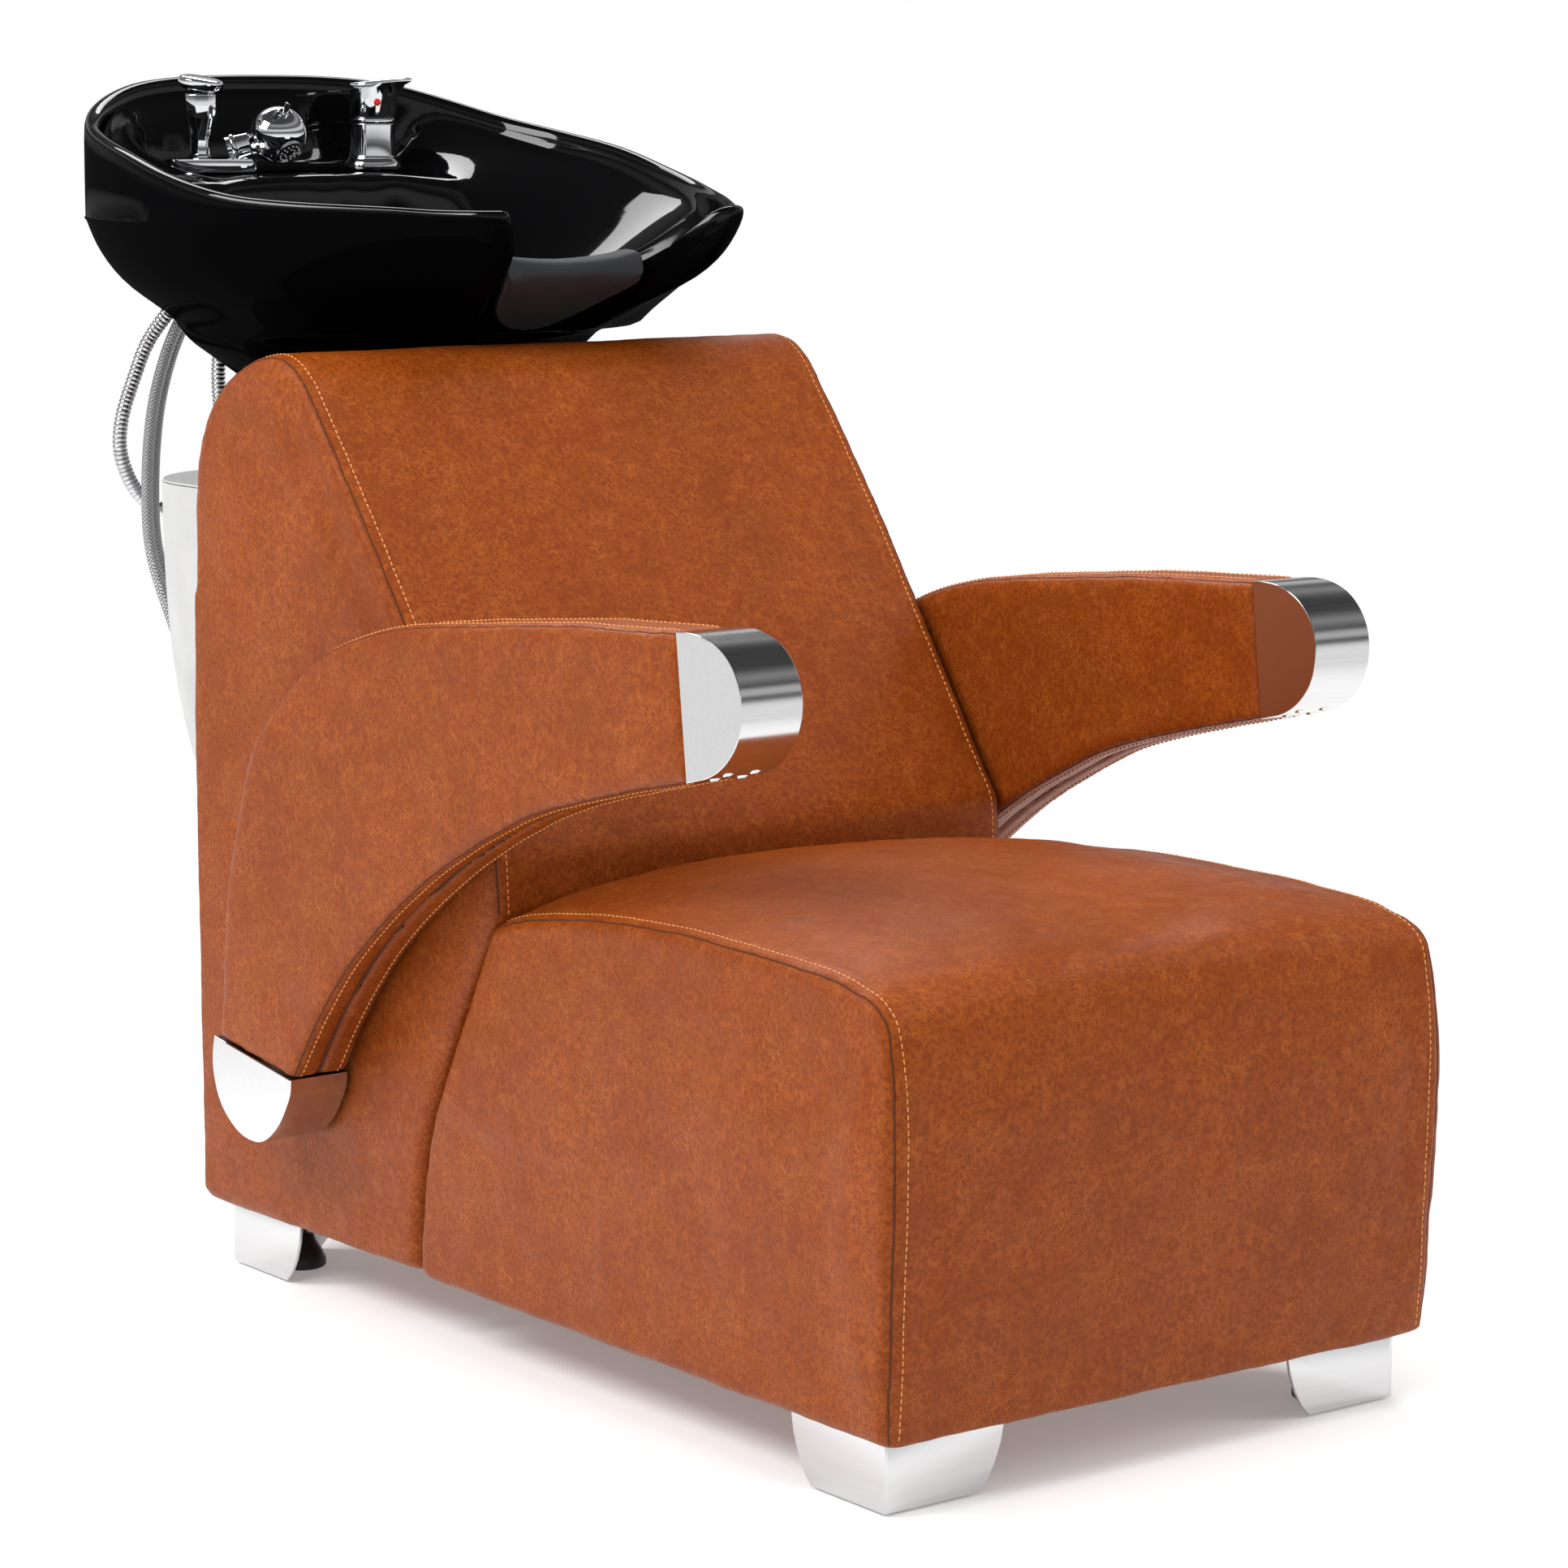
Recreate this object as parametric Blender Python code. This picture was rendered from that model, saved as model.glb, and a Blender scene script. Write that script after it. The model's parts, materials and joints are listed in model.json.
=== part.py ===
"""Shampoo backwash unit: an upholstered seat and back on four corner feet, two
armrests, and a tilting black ceramic basin with its mixer, vacuum breaker,
hand spray, waste and hoses.

Metres, +Z up, the floor at z = 0. The client faces -Y, the basin is at +Y.
"Left" is -X and "right" is +X. Parts are laid out a little behind their final
place, and the last step shifts them all so that the origin is the centre of
the bounding box's bottom face.
"""

import math

import bmesh
import bpy
from mathutils import Matrix, Vector

# ------------------------------------------------------- shared dimensions
LAYOUT_SHIFT_Y = -0.0075  # centres the unit on the origin
BACK_REAR_Y = 0.3420  # outer face of the rear panel
DRAIN = (0.0, 0.448)  # centre of the waste in plan
DRAIN_AT = (*DRAIN, 0.0)
HINGE = (0.0, 0.364, 0.733)  # tilt axis of the basin, along X
DECK_Z = 0.968  # tap deck at the back of the basin
MIXER_AT = (0.092, 0.6105)
BREAKER_AT = (-0.0995, 0.6095)
SHARP_ANGLE = math.radians(38)
ALONG_X = (1, 0, 0)
ALONG_Y = (0, 1, 0)
SIDES = (("left", -1.0), ("right", 1.0))

# --------------------------------------------------------------- materials
FINISHES = {  # colour, roughness, metallic
    "leather": ((0.392, 0.112, 0.034), 0.42, 0.0),
    "plywood": ((0.55, 0.38, 0.20), 0.65, 0.0),
    "frame_steel": ((0.05, 0.05, 0.055), 0.45, 0.6),
    "stainless": ((0.72, 0.72, 0.73), 0.22, 1.0),
    "chrome": ((0.85, 0.85, 0.87), 0.06, 1.0),
    "ceramic": ((0.006, 0.006, 0.007), 0.06, 0.0),
    "neck_rubber": ((0.035, 0.036, 0.038), 0.55, 0.0),
    "black_plastic": ((0.015, 0.015, 0.016), 0.38, 0.0),
    "black_rubber": ((0.012, 0.012, 0.012), 0.7, 0.0),
    "braid": ((0.55, 0.55, 0.56), 0.3, 1.0),
    "pvc": ((0.42, 0.42, 0.43), 0.45, 0.0),
    "brass": ((0.60, 0.45, 0.18), 0.3, 1.0),
    "mark_red": ((0.60, 0.02, 0.02), 0.3, 0.0),
}


def clear_scene():
    for part in list(bpy.data.objects):
        bpy.data.objects.remove(part, do_unlink=True)
    for mesh in list(bpy.data.meshes):
        bpy.data.meshes.remove(mesh)


def make_material(name, colour, roughness, metallic):
    material = bpy.data.materials.new(name)
    material.use_nodes = True
    inputs = material.node_tree.nodes["Principled BSDF"].inputs
    inputs["Base Color"].default_value = (*colour, 1.0)
    inputs["Roughness"].default_value = roughness
    inputs["Metallic"].default_value = metallic
    return material


clear_scene()
MATERIALS = {name: make_material(name, *finish) for name, finish in FINISHES.items()}


# ----------------------------------------------------------------- objects
def link_object(name, shape):
    """Turn a bmesh into an object in the scene; the bmesh is freed."""
    bmesh.ops.recalc_face_normals(shape, faces=shape.faces)
    mesh = bpy.data.meshes.new(name)
    shape.to_mesh(mesh)
    shape.free()
    part = bpy.data.objects.new(name, mesh)
    bpy.context.scene.collection.objects.link(part)
    return part


def add(name, shape, material, origin=(0.0, 0.0, 0.0), smooth=True):
    """A piece from a bmesh in layout coordinates, with its origin moved to `origin`."""
    bmesh.ops.translate(shape, vec=-Vector(origin), verts=shape.verts)
    part = link_object(name, shape)
    part.location = origin
    part.data.materials.append(MATERIALS[material])
    for polygon in part.data.polygons:
        polygon.use_smooth = smooth
    if smooth:
        part.data.set_sharp_from_angle(angle=SHARP_ANGLE)
    return part


def combine(part, name, shape, operation):
    """Apply a hidden helper object to a part by a boolean modifier; returns the helper."""
    helper = link_object(name, shape)
    helper.hide_render = True
    helper.display_type = "WIRE"
    modifier = part.modifiers.new(name, "BOOLEAN")
    modifier.operation = operation
    modifier.object = helper
    modifier.solver = "EXACT"
    return helper


def cut(part, name, shape):
    return combine(part, name, shape, "DIFFERENCE")


def join(part, name, shape):
    return combine(part, name, shape, "UNION")


# ------------------------------------------------------------------ shapes
def loft(rings, closed=False):
    """A skin over rings of equal length.

    The end rings are capped, or with `closed` the last ring joins the first,
    which makes a body with a hole through it.
    """
    shape = bmesh.new()
    rows = [[shape.verts.new(point) for point in ring] for ring in rings]
    count = len(rows[0])
    next_rows = rows[1:] + rows[:1] if closed else rows[1:]
    for row, other in zip(rows, next_rows):
        for i in range(count):
            j = (i + 1) % count
            shape.faces.new((row[i], row[j], other[j], other[i]))
    if not closed:
        shape.faces.new(list(reversed(rows[0])))
        shape.faces.new(rows[-1])
    return shape


def box(low, high):
    """A box between two opposite corners."""
    shape = bmesh.new()
    bmesh.ops.create_cube(shape, size=1.0)
    for vert in shape.verts:
        vert.co = [a + (c + 0.5) * (b - a) for a, b, c in zip(low, high, vert.co)]
    return shape


def lathe(profile, segments, at=(0, 0, 0), axis=(0, 0, 1), closed=False):
    """A turned body with its axis through `at`.

    The profile is (radius, height): from end to end of a solid body, or with
    `closed` round the section of a body with a hole.
    """
    turn = Vector(axis).normalized().to_track_quat("Z", "Y").to_matrix().to_4x4()
    place = Matrix.Translation(Vector(at)) @ turn
    angles = [2 * math.pi * k / segments for k in range(segments)]
    rings = [
        [place @ Vector((radius * math.cos(a), radius * math.sin(a), height)) for a in angles]
        for radius, height in profile
    ]
    return loft(rings, closed)


def cylinder(radius, low, high, segments, at=(0, 0, 0), axis=(0, 0, 1)):
    return lathe([(radius, low), (radius, high)], segments, at, axis)


def sweep(path, radius, segments):
    """A round bar along a path."""
    rings = []
    side = None
    for i, point in enumerate(path):
        before = path[max(i - 1, 0)]
        after = path[min(i + 1, len(path) - 1)]
        tangent = (after - before).normalized()
        if side is None:
            side = tangent.orthogonal().normalized()
        side = (side - tangent * side.dot(tangent)).normalized()
        other = tangent.cross(side)
        angles = [2 * math.pi * k / segments for k in range(segments)]
        rings.append([point + radius * (side * math.cos(a) + other * math.sin(a)) for a in angles])
    return loft(rings)


def inset_outline(outline, distance):
    """A closed 2-D outline moved inwards by a small distance."""
    points = [Vector(point) for point in outline]
    count = len(points)
    area = sum(p.x * q.y - q.x * p.y for p, q in zip(points, points[1:] + points[:1]))
    sign = 1.0 if area > 0 else -1.0
    longest_mitre = 1.8
    moved = []
    for i, point in enumerate(points):
        edge_in = (point - points[i - 1]).normalized()
        edge_out = (points[(i + 1) % count] - point).normalized()
        normal_in = Vector((-edge_in.y, edge_in.x)) * sign
        normal_out = Vector((-edge_out.y, edge_out.x)) * sign
        middle = (normal_in + normal_out).normalized()
        mitre = 1.0 / max(middle.dot(normal_in), 1.0 / longest_mitre)
        moved.append(point + middle * distance * mitre)
    return moved


def prism_x(outline, stations):
    """A (y, z) outline run along X; stations are (x, inset)."""
    return loft([
        [(x, y, z) for y, z in inset_outline(outline, inset)] for x, inset in stations
    ])


def slab_x(outline, x_from, x_to):
    """A (y, z) outline run straight between two places on X."""
    return loft([[(x, y, z) for y, z in outline] for x in sorted((x_from, x_to))])


# ------------------------------------------------------------------ curves
def spline(points, steps, ends=None):
    """Points on a Catmull-Rom curve through `points`.

    `steps` is the number of steps in every span, or a list with one for each.
    `ends` are the control points beyond the two ends, by default straight on.
    """
    points = [Vector(point) for point in points]
    if ends is None:
        ends = (points[0] * 2 - points[1], points[-1] * 2 - points[-2])
    guide = [ends[0], *points, ends[1]]
    if isinstance(steps, int):
        steps = [steps] * (len(points) - 1)
    curve = []
    for i, count in enumerate(steps):
        p0, p1, p2, p3 = guide[i:i + 4]
        for k in range(count):
            t = k / count
            curve.append(0.5 * (
                2 * p1
                + (p2 - p0) * t
                + (2 * p0 - 5 * p1 + 4 * p2 - p3) * t**2
                + (3 * p1 - p0 - 3 * p2 + p3) * t**3
            ))
    curve.append(points[-1])
    return curve


def linear(x, pairs):
    """Linear interpolation in a list of (x, y)."""
    if x <= pairs[0][0]:
        return pairs[0][1]
    for (x0, y0), (x1, y1) in zip(pairs, pairs[1:]):
        if x <= x1:
            return y0 + (y1 - y0) * (x - x0) / (x1 - x0)
    return pairs[-1][1]


def monotone(x, pairs):
    """Monotone cubic interpolation in a list of (x, y)."""
    if x <= pairs[0][0]:
        return pairs[0][1]
    if x >= pairs[-1][0]:
        return pairs[-1][1]
    widths = [q[0] - p[0] for p, q in zip(pairs, pairs[1:])]
    slopes = [(q[1] - p[1]) / w for p, q, w in zip(pairs, pairs[1:], widths)]
    tangents = [slopes[0]]
    for a, b in zip(slopes, slopes[1:]):
        tangents.append(0.0 if a * b <= 0 else 2 * a * b / (a + b))
    tangents.append(slopes[-1])
    i = next(k for k in range(len(widths)) if x <= pairs[k + 1][0])
    t = (x - pairs[i][0]) / widths[i]
    return (
        pairs[i][1] * (1 + 2 * t) * (1 - t) ** 2
        + widths[i] * tangents[i] * t * (1 - t) ** 2
        + pairs[i + 1][1] * t * t * (3 - 2 * t)
        + widths[i] * tangents[i + 1] * t * t * (t - 1)
    )


# ------------------------------------------------------ seat and back block
UNDERSIDE_Z = 0.057  # underside of the upholstery
BLOCK_HALF = 0.279  # half width of the seat, and of the back at its rear
BACK_FRONT_Y = -0.137
BACK_FRONT_HALF = 0.2700  # half width of the back at BACK_FRONT_Y
BACK_FLARE = 0.0190  # gain in half width for each metre in Y
SEAT_TOP_REAR = (-0.1405, 0.377)

# outlines are (y, z)
SEAT_TOP = [
    SEAT_TOP_REAR, (-0.1500, 0.3800), (-0.197, 0.3915), (-0.277, 0.403), (-0.365, 0.409),
    (-0.471, 0.409), (-0.571, 0.4055), (-0.629, 0.397), (-0.653, 0.386),
]
SEAT_FRONT = [(-0.6635, 0.364), (-0.6685, 0.298), (-0.6650, 0.176), (-0.6600, UNDERSIDE_Z)]
SEAT_SEAM = [
    (-0.0265, UNDERSIDE_Z), (-0.0302, 0.132), (-0.0512, 0.2055), (-0.0895, 0.281), SEAT_TOP_REAR,
]
BACK_SEAM = [
    (-0.0140, UNDERSIDE_Z), (-0.0190, 0.132), (-0.0395, 0.2055), (-0.0775, 0.281),
    (-0.1370, 0.381),
]
BACK_SLANT = [
    (-0.1340, 0.430), (-0.0020, 0.614), (0.0770, 0.718), (0.1350, 0.790),
    (0.1500, 0.806), (0.1790, 0.8225), (0.2190, 0.8205), (0.2590, 0.806),
    (0.2900, 0.786), (0.3110, 0.759), (0.3240, 0.726), (0.3305, 0.680),
]
BACK_REAR = [(0.3335, 0.600), (0.3340, 0.300), (0.3340, UNDERSIDE_Z)]

# top of the seat along its centre line, (y, z)
SEAT_CENTRE_Z = [
    (-0.653, 0.394), (-0.629, 0.408), (-0.571, 0.4185), (-0.471, 0.4235), (-0.365, 0.4240),
    (-0.277, 0.4235), (-0.197, 0.4190), (-0.150, 0.4120), SEAT_TOP_REAR,
]
# left half of the seat: x, inset of the outline, share of the lift to the centre line
SEAT_STATIONS = [
    (-BLOCK_HALF, 0.006, 0.0), (-BLOCK_HALF + 0.003, 0.0018, 0.0),
    (-BLOCK_HALF + 0.012, 0.0, 0.05), (-0.19, 0.0, 0.62), (-0.09, 0.0, 0.92), (0.0, 0.0, 1.0),
]
# left side of the back: x, inset of the outline
BACK_STATIONS = [
    (-BLOCK_HALF, 0.006), (-BLOCK_HALF + 0.003, 0.0018), (-BLOCK_HALF + 0.012, 0.0),
]

# hollows for the plywood carcases, and the channels below for the ground frame
CAVITY_HALF = 0.236
CHANNEL_TOP = 0.0795
SEAT_HOLLOW = (-0.622, -0.160, 0.345)  # front y, rear y, top z
BACK_HOLLOW = (0.075, 0.2855, 0.680)
SEAT_CHANNEL = (-0.623, -0.010, CHANNEL_TOP)
BACK_CHANNEL = (-0.030, 0.2865, CHANNEL_TOP)
CARCASE_GAP = 0.0005  # between a carcase and its hollow
CARCASE_BOTTOM = 0.0785
PLYWOOD = 0.016

PANEL_HALF = 0.262
PANEL_BOTTOM, PANEL_SHOULDER = 0.0620, 0.6700
PANEL_CORNER_R = 0.040
PANEL_FRONT_Y = 0.3344
PANEL_BEVEL = 0.0015

GROUND_FRAME_HALF = 0.2350
GROUND_FRAME_Y = (-0.6210, 0.2845)
GROUND_FRAME_Z = (0.0575, 0.0780)
GROUND_FRAME_BAR = 0.040

# corners: name, direction in X, direction in Y
CORNERS = (
    ("front_left", -1.0, -1.0), ("front_right", 1.0, -1.0),
    ("rear_left", -1.0, 1.0), ("rear_right", 1.0, 1.0),
)
GLIDE_X = 0.2175
GLIDE_Y = {-1.0: -0.5975, 1.0: 0.2610}  # by direction in Y
STEM_HOLE_R = 0.0066


def seat_lift(y, z):
    """Rise of the seat's top from the outline to the centre line."""
    if z < 0.3765 or y > -0.1406:  # not on the top
        return 0.0
    return max(0.0, monotone(y, SEAT_CENTRE_Z) - z)


def cavity(hollow):
    """Cutting box for a hollow given as front y, rear y, top z."""
    front, rear, top = hollow
    return box((-CAVITY_HALF, front, 0.0), (CAVITY_HALF, rear, top))


def seat_cushion():
    outline = spline(SEAT_TOP + SEAT_FRONT, 2) + spline(SEAT_SEAM, 2)[:-1]
    stations = SEAT_STATIONS + [
        (-x, inset, share) for x, inset, share in reversed(SEAT_STATIONS[:-1])
    ]
    rings = [
        [(x, y, z + share * seat_lift(y, z)) for y, z in inset_outline(outline, inset)]
        for x, inset, share in stations
    ]
    seat = add("seat_cushion", loft(rings), "leather")
    cut(seat, "cut_seat_hollow", cavity(SEAT_HOLLOW))
    cut(seat, "cut_seat_rail", cavity(SEAT_CHANNEL))


def back_cushion():
    outline = spline(BACK_SEAM, 2) + spline(BACK_SLANT, 2) + BACK_REAR
    stations = BACK_STATIONS + [(-x, inset) for x, inset in reversed(BACK_STATIONS)]
    shape = prism_x(outline, stations)
    for vert in shape.verts:
        half = BACK_FRONT_HALF + BACK_FLARE * (vert.co.y - BACK_FRONT_Y)
        vert.co.x *= half / BLOCK_HALF
    back = add("back_cushion", shape, "leather")
    cut(back, "cut_back_hollow", cavity(BACK_HOLLOW))
    cut(back, "cut_back_rail", cavity(BACK_CHANNEL))


def back_panel():
    """Board over the rear of the back block, with rounded top corners."""
    right = [(PANEL_HALF, PANEL_SHOULDER)]
    for angle in (math.radians(30), math.radians(60), math.radians(90)):
        right.append((PANEL_HALF - PANEL_CORNER_R * (1 - math.cos(angle)),
                      PANEL_SHOULDER + PANEL_CORNER_R * math.sin(angle)))
    outline = [(-PANEL_HALF, PANEL_BOTTOM), (PANEL_HALF, PANEL_BOTTOM)] + right
    outline += [(-x, z) for x, z in reversed(right)]
    rings = [
        [(x, PANEL_FRONT_Y, z) for x, z in outline],
        [(x, BACK_REAR_Y - PANEL_BEVEL, z) for x, z in outline],
        [(x, BACK_REAR_Y, z) for x, z in inset_outline(outline, PANEL_BEVEL)],
    ]
    add("back_panel", loft(rings), "leather", smooth=False)


def rectangle(half, front, rear, inset=0.0):
    """Corners (x, y) of a rectangle centred on X."""
    x, y0, y1 = half - inset, front + inset, rear - inset
    return [(-x, y0), (x, y0), (x, y1), (-x, y1)]


def carcase(name, hollow):
    """A plywood box, open below, that fills a hollow."""
    front, rear, top = hollow
    half = CAVITY_HALF - CARCASE_GAP
    sides = (half, front + CARCASE_GAP, rear - CARCASE_GAP)
    top -= CARCASE_GAP
    outer = rectangle(*sides)
    inner = rectangle(*sides, inset=PLYWOOD)
    rings = [
        [(*point, z) for point in corners]
        for corners, z in ((outer, top), (outer, CARCASE_BOTTOM),
                           (inner, CARCASE_BOTTOM), (inner, top - PLYWOOD))
    ]
    add(name, loft(rings), "plywood", smooth=False)


def base_frame():
    """Steel ground frame, with a hole for each glide's stem."""
    outer = rectangle(GROUND_FRAME_HALF, *GROUND_FRAME_Y)
    inner = rectangle(GROUND_FRAME_HALF, *GROUND_FRAME_Y, inset=GROUND_FRAME_BAR)
    low, high = GROUND_FRAME_Z
    rings = [
        [(*point, z) for point in corners]
        for corners, z in ((outer, low), (outer, high), (inner, high), (inner, low))
    ]
    frame = add("base_frame", loft(rings, closed=True), "frame_steel", smooth=False)
    for k, (_, side_x, side_y) in enumerate(CORNERS):
        at = (side_x * GLIDE_X, GLIDE_Y[side_y], 0.0)
        cut(frame, f"cut_base_stem_{k}", cylinder(STEM_HOLE_R, 0.0, 0.12, 16, at))


# -------------------------------------------------------------------- feet
FOOT_X = 0.261
FOOT_Y = {-1.0: -0.6375, 1.0: 0.3065}  # by direction in Y
FOOT_SHEET = 0.003
FOOT_PLATE_Z = (0.0535, 0.0562)
# one wing of a foot: distance from the corner, z
FOOT_WING = [
    (0.0, 0.0025), (0.090, 0.0025), (0.0985, 0.0110), (0.1060, 0.0240),
    (0.1120, 0.0400), (0.1150, 0.0563), (0.0, 0.0563),
]
# triangular top plate: distances from the corner along X and Y
FOOT_PLATE = [(0.0004, 0.0004), (0.100, 0.0004), (0.0004, 0.100)]
# radius, height
GLIDE_PROFILE = [
    (0.0190, 0.0), (0.0212, 0.0020), (0.0212, 0.0075), (0.0175, 0.0160),
    (0.0125, 0.0240), (0.0105, 0.0290), (0.0055, 0.0305), (0.0055, 0.0750),
]


def foot(corner, side_x, side_y):
    """Two upright wings that meet at the corner, under a top plate, and the glide."""
    name = f"foot_{corner}"
    corner_x, corner_y = side_x * FOOT_X, FOOT_Y[side_y]
    wing_along_x = loft([
        [(corner_x - side_x * reach, corner_y - side_y * depth, z) for reach, z in FOOT_WING]
        for depth in (0.0, FOOT_SHEET)
    ])
    wing_along_y = loft([
        [(corner_x - side_x * depth, corner_y - side_y * reach, z) for reach, z in FOOT_WING]
        for depth in (0.0, FOOT_SHEET)
    ])
    plate = loft([
        [(corner_x - side_x * u, corner_y - side_y * v, z) for u, v in FOOT_PLATE]
        for z in FOOT_PLATE_Z
    ])
    part = add(name, wing_along_x, "stainless", smooth=False)
    join(part, f"join_{name}_b", wing_along_y)
    join(part, f"join_{name}_c", plate)
    glide_at = (side_x * GLIDE_X, GLIDE_Y[side_y], 0.0)
    cut(part, f"cut_{name}", cylinder(STEM_HOLE_R, 0.04, 0.08, 16, glide_at))
    add(f"glide_{corner}", lathe(GLIDE_PROFILE, 20, glide_at), "black_plastic", origin=glide_at)


# --------------------------------------------------------------- armrests
ARM_WIDTH = 0.058  # across X
ARM_TOE = 0.0325  # toe-in towards the front, radians
ARM_PIVOT_Y = 0.200
ARM_INNER_X = 0.2842  # inner face at ARM_PIVOT_Y
ARM_EDGE = 0.0035  # rounding of the leather's edges
ARM_SIDE_GAP = 0.0004  # leather short of the full width, at each side
CAP_EDGE = 0.0007
CAP_GAP = 0.0005  # between the leather and a cap
CAP_SHEET = 0.002
CAP_OPENING = 0.006  # run-out of a cap's hollow towards the leather

# outlines are (y, z)
ARM_TOP = [
    (-0.4568, 0.6489), (-0.4220, 0.6476), (-0.3194, 0.6426), (-0.2120, 0.6328),
    (-0.1223, 0.6235), (-0.0643, 0.6143), (-0.0089, 0.5993), (0.0410, 0.5781),
    (0.0861, 0.5441), (0.1256, 0.5082), (0.1480, 0.4670), (0.1655, 0.4165),
    (0.1755, 0.3800), (0.1825, 0.3300), (0.1880, 0.2740), (0.1926, 0.2361),
]
ARM_UNDER = [
    (0.0777, 0.2181), (0.0401, 0.2731), (-0.0101, 0.3290), (-0.0708, 0.3786),
    (-0.1412, 0.4249), (-0.2092, 0.4600), (-0.2750, 0.4877), (-0.3701, 0.5138),
    (-0.4691, 0.5361),
]
CAP_FRONT = [
    (-0.4568, 0.6489), (-0.4696, 0.6495), (-0.4850, 0.6487), (-0.5008, 0.6450),
    (-0.5140, 0.6385), (-0.5248, 0.6290), (-0.5320, 0.6180), (-0.5359, 0.6060),
    (-0.5365, 0.5940), (-0.5343, 0.5820), (-0.5295, 0.5710), (-0.5215, 0.5600),
    (-0.5105, 0.5505), (-0.4960, 0.5430), (-0.4809, 0.5390), (-0.4691, 0.5361),
]
CAP_REAR = [
    (0.1974, 0.2375), (0.2005, 0.2230), (0.2005, 0.2080), (0.1952, 0.1900),
    (0.1870, 0.1770), (0.1763, 0.1675), (0.1650, 0.1605), (0.1533, 0.1563),
    (0.1410, 0.1545), (0.1290, 0.1550), (0.1165, 0.1600), (0.1056, 0.1680),
    (0.0960, 0.1775), (0.0870, 0.1905), (0.0793, 0.2050), (0.0777, 0.2181),
]


def from_pivot(points):
    return [Vector((y - ARM_PIVOT_Y, z)) for y, z in points]


def place_arm_part(part, side_x):
    part.location = (side_x * ARM_INNER_X, ARM_PIVOT_Y, 0.0)
    part.rotation_euler = (0.0, 0.0, -side_x * ARM_TOE)


def arm_prism(outline, side_x, gap, edge_depth, edge_inset):
    """An outline run across the armrest's width, with its two edges eased."""
    stations = [
        (gap, edge_inset), (edge_depth, 0.0),
        (ARM_WIDTH - edge_depth, 0.0), (ARM_WIDTH - gap, edge_inset),
    ]
    return prism_x(outline, [(side_x * x, inset) for x, inset in stations])


def arm_cap(end, points, side, side_x):
    """Hollow metal cap that closes one end of an armrest."""
    outline = from_pivot(points)
    along = (outline[-1] - outline[0]).normalized()
    outward = Vector((along.y, -along.x))
    middle = sum(outline, Vector((0, 0))) / len(outline)
    if (middle - outline[0]).dot(outward) < 0:
        outward = -outward
    for k in (0, -1):
        outline[k] = outline[k] + outward * CAP_GAP
    shape = arm_prism(outline, side_x, 0.0, CAP_EDGE, CAP_EDGE)
    cap = add(f"arm_cap_{end}_{side}", shape, "stainless")
    place_arm_part(cap, side_x)
    # the hollow runs out through the straight side, towards the leather
    hollow = inset_outline(outline, CAP_SHEET)
    for k in (0, -1):
        hollow[k] = hollow[k] - outward * CAP_OPENING
    helper = cut(cap, f"cut_cap_{end}_{side}",
                 slab_x(hollow, side_x * CAP_SHEET, side_x * (ARM_WIDTH - CAP_SHEET)))
    place_arm_part(helper, side_x)


def armrest(side, side_x):
    outline = from_pivot(spline(ARM_TOP, 2) + spline(ARM_UNDER, 2))
    shape = arm_prism(outline, side_x, ARM_SIDE_GAP, ARM_EDGE, ARM_EDGE)
    place_arm_part(add(f"armrest_{side}", shape, "leather"), side_x)
    arm_cap("front", CAP_FRONT, side, side_x)
    arm_cap("rear", CAP_REAR, side, side_x)
    x_low, x_high = sorted((side_x * 0.2760, side_x * 0.2796))
    add(f"arm_plate_{side}", box((x_low, 0.070, 0.300), (x_high, 0.150, 0.450)),
        "frame_steel", smooth=False)


# ------------------------------------------------------------------- basin
RIM_REAR_Y = 0.6836
BOWL_BOTTOM = 0.7620
WASTE_SEAT_Z = 0.7860  # inside of the bowl at the waste
WASTE_HOLE_R = 0.031
BELLY_TOP = 0.8290
OUTER_TOP = 0.929  # the hull is at its full size from here up
RIM_EDGE_DROP = 0.006  # outer edge of the rim, below its crest
RIM_INNER_DROP = 0.0100
TAPER_Y = 0.385  # the hull tapers towards this Y
RIM_CENTRE = Vector((0.0, 0.360))

# right half of the plan at full size, (x, y) from the front centre to the rear centre
HALF_PLAN = [
    (0.0, 0.1150), (0.040, 0.1150), (0.075, 0.1140), (0.092, 0.1105), (0.1015, 0.0980),
    (0.1090, 0.0790), (0.1215, 0.0630), (0.1360, 0.0650), (0.1475, 0.0770), (0.1560, 0.0930),
    (0.1850, 0.1400), (0.2210, 0.2000), (0.2490, 0.2550), (0.2680, 0.3060), (0.2760, 0.3600),
    (0.2770, 0.4200), (0.2700, 0.4800), (0.2560, 0.5400), (0.2390, 0.5820), (0.2120, 0.6220),
    (0.1770, 0.6510), (0.1320, 0.6710), (0.0720, 0.6815), (0.0, RIM_REAR_Y),
]
PLAN_STEPS = [2] * 3 + [3] * 3 + [2] * 17  # steps in each span of HALF_PLAN
# height of the rim, (y, z)
RIM_Z = [
    (0.060, 0.9450), (0.150, 0.9475), (0.263, 0.9530), (0.360, 0.9700), (0.454, 0.9925),
    (0.530, 1.0060), (0.592, 1.0190), (0.640, 1.0370), (0.670, 1.0530), (RIM_REAR_Y, 1.0593),
]
# height of the rim in the neck notch, (distance from the centre line, z)
NOTCH_REAR_Y = 0.13
NOTCH_Z = [
    (0.0, 0.8850), (0.070, 0.8860), (0.085, 0.8900), (0.096, 0.8980), (0.103, 0.9100),
    (0.109, 0.9270), (0.116, 0.9400), (0.124, 0.9450),
]
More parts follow.
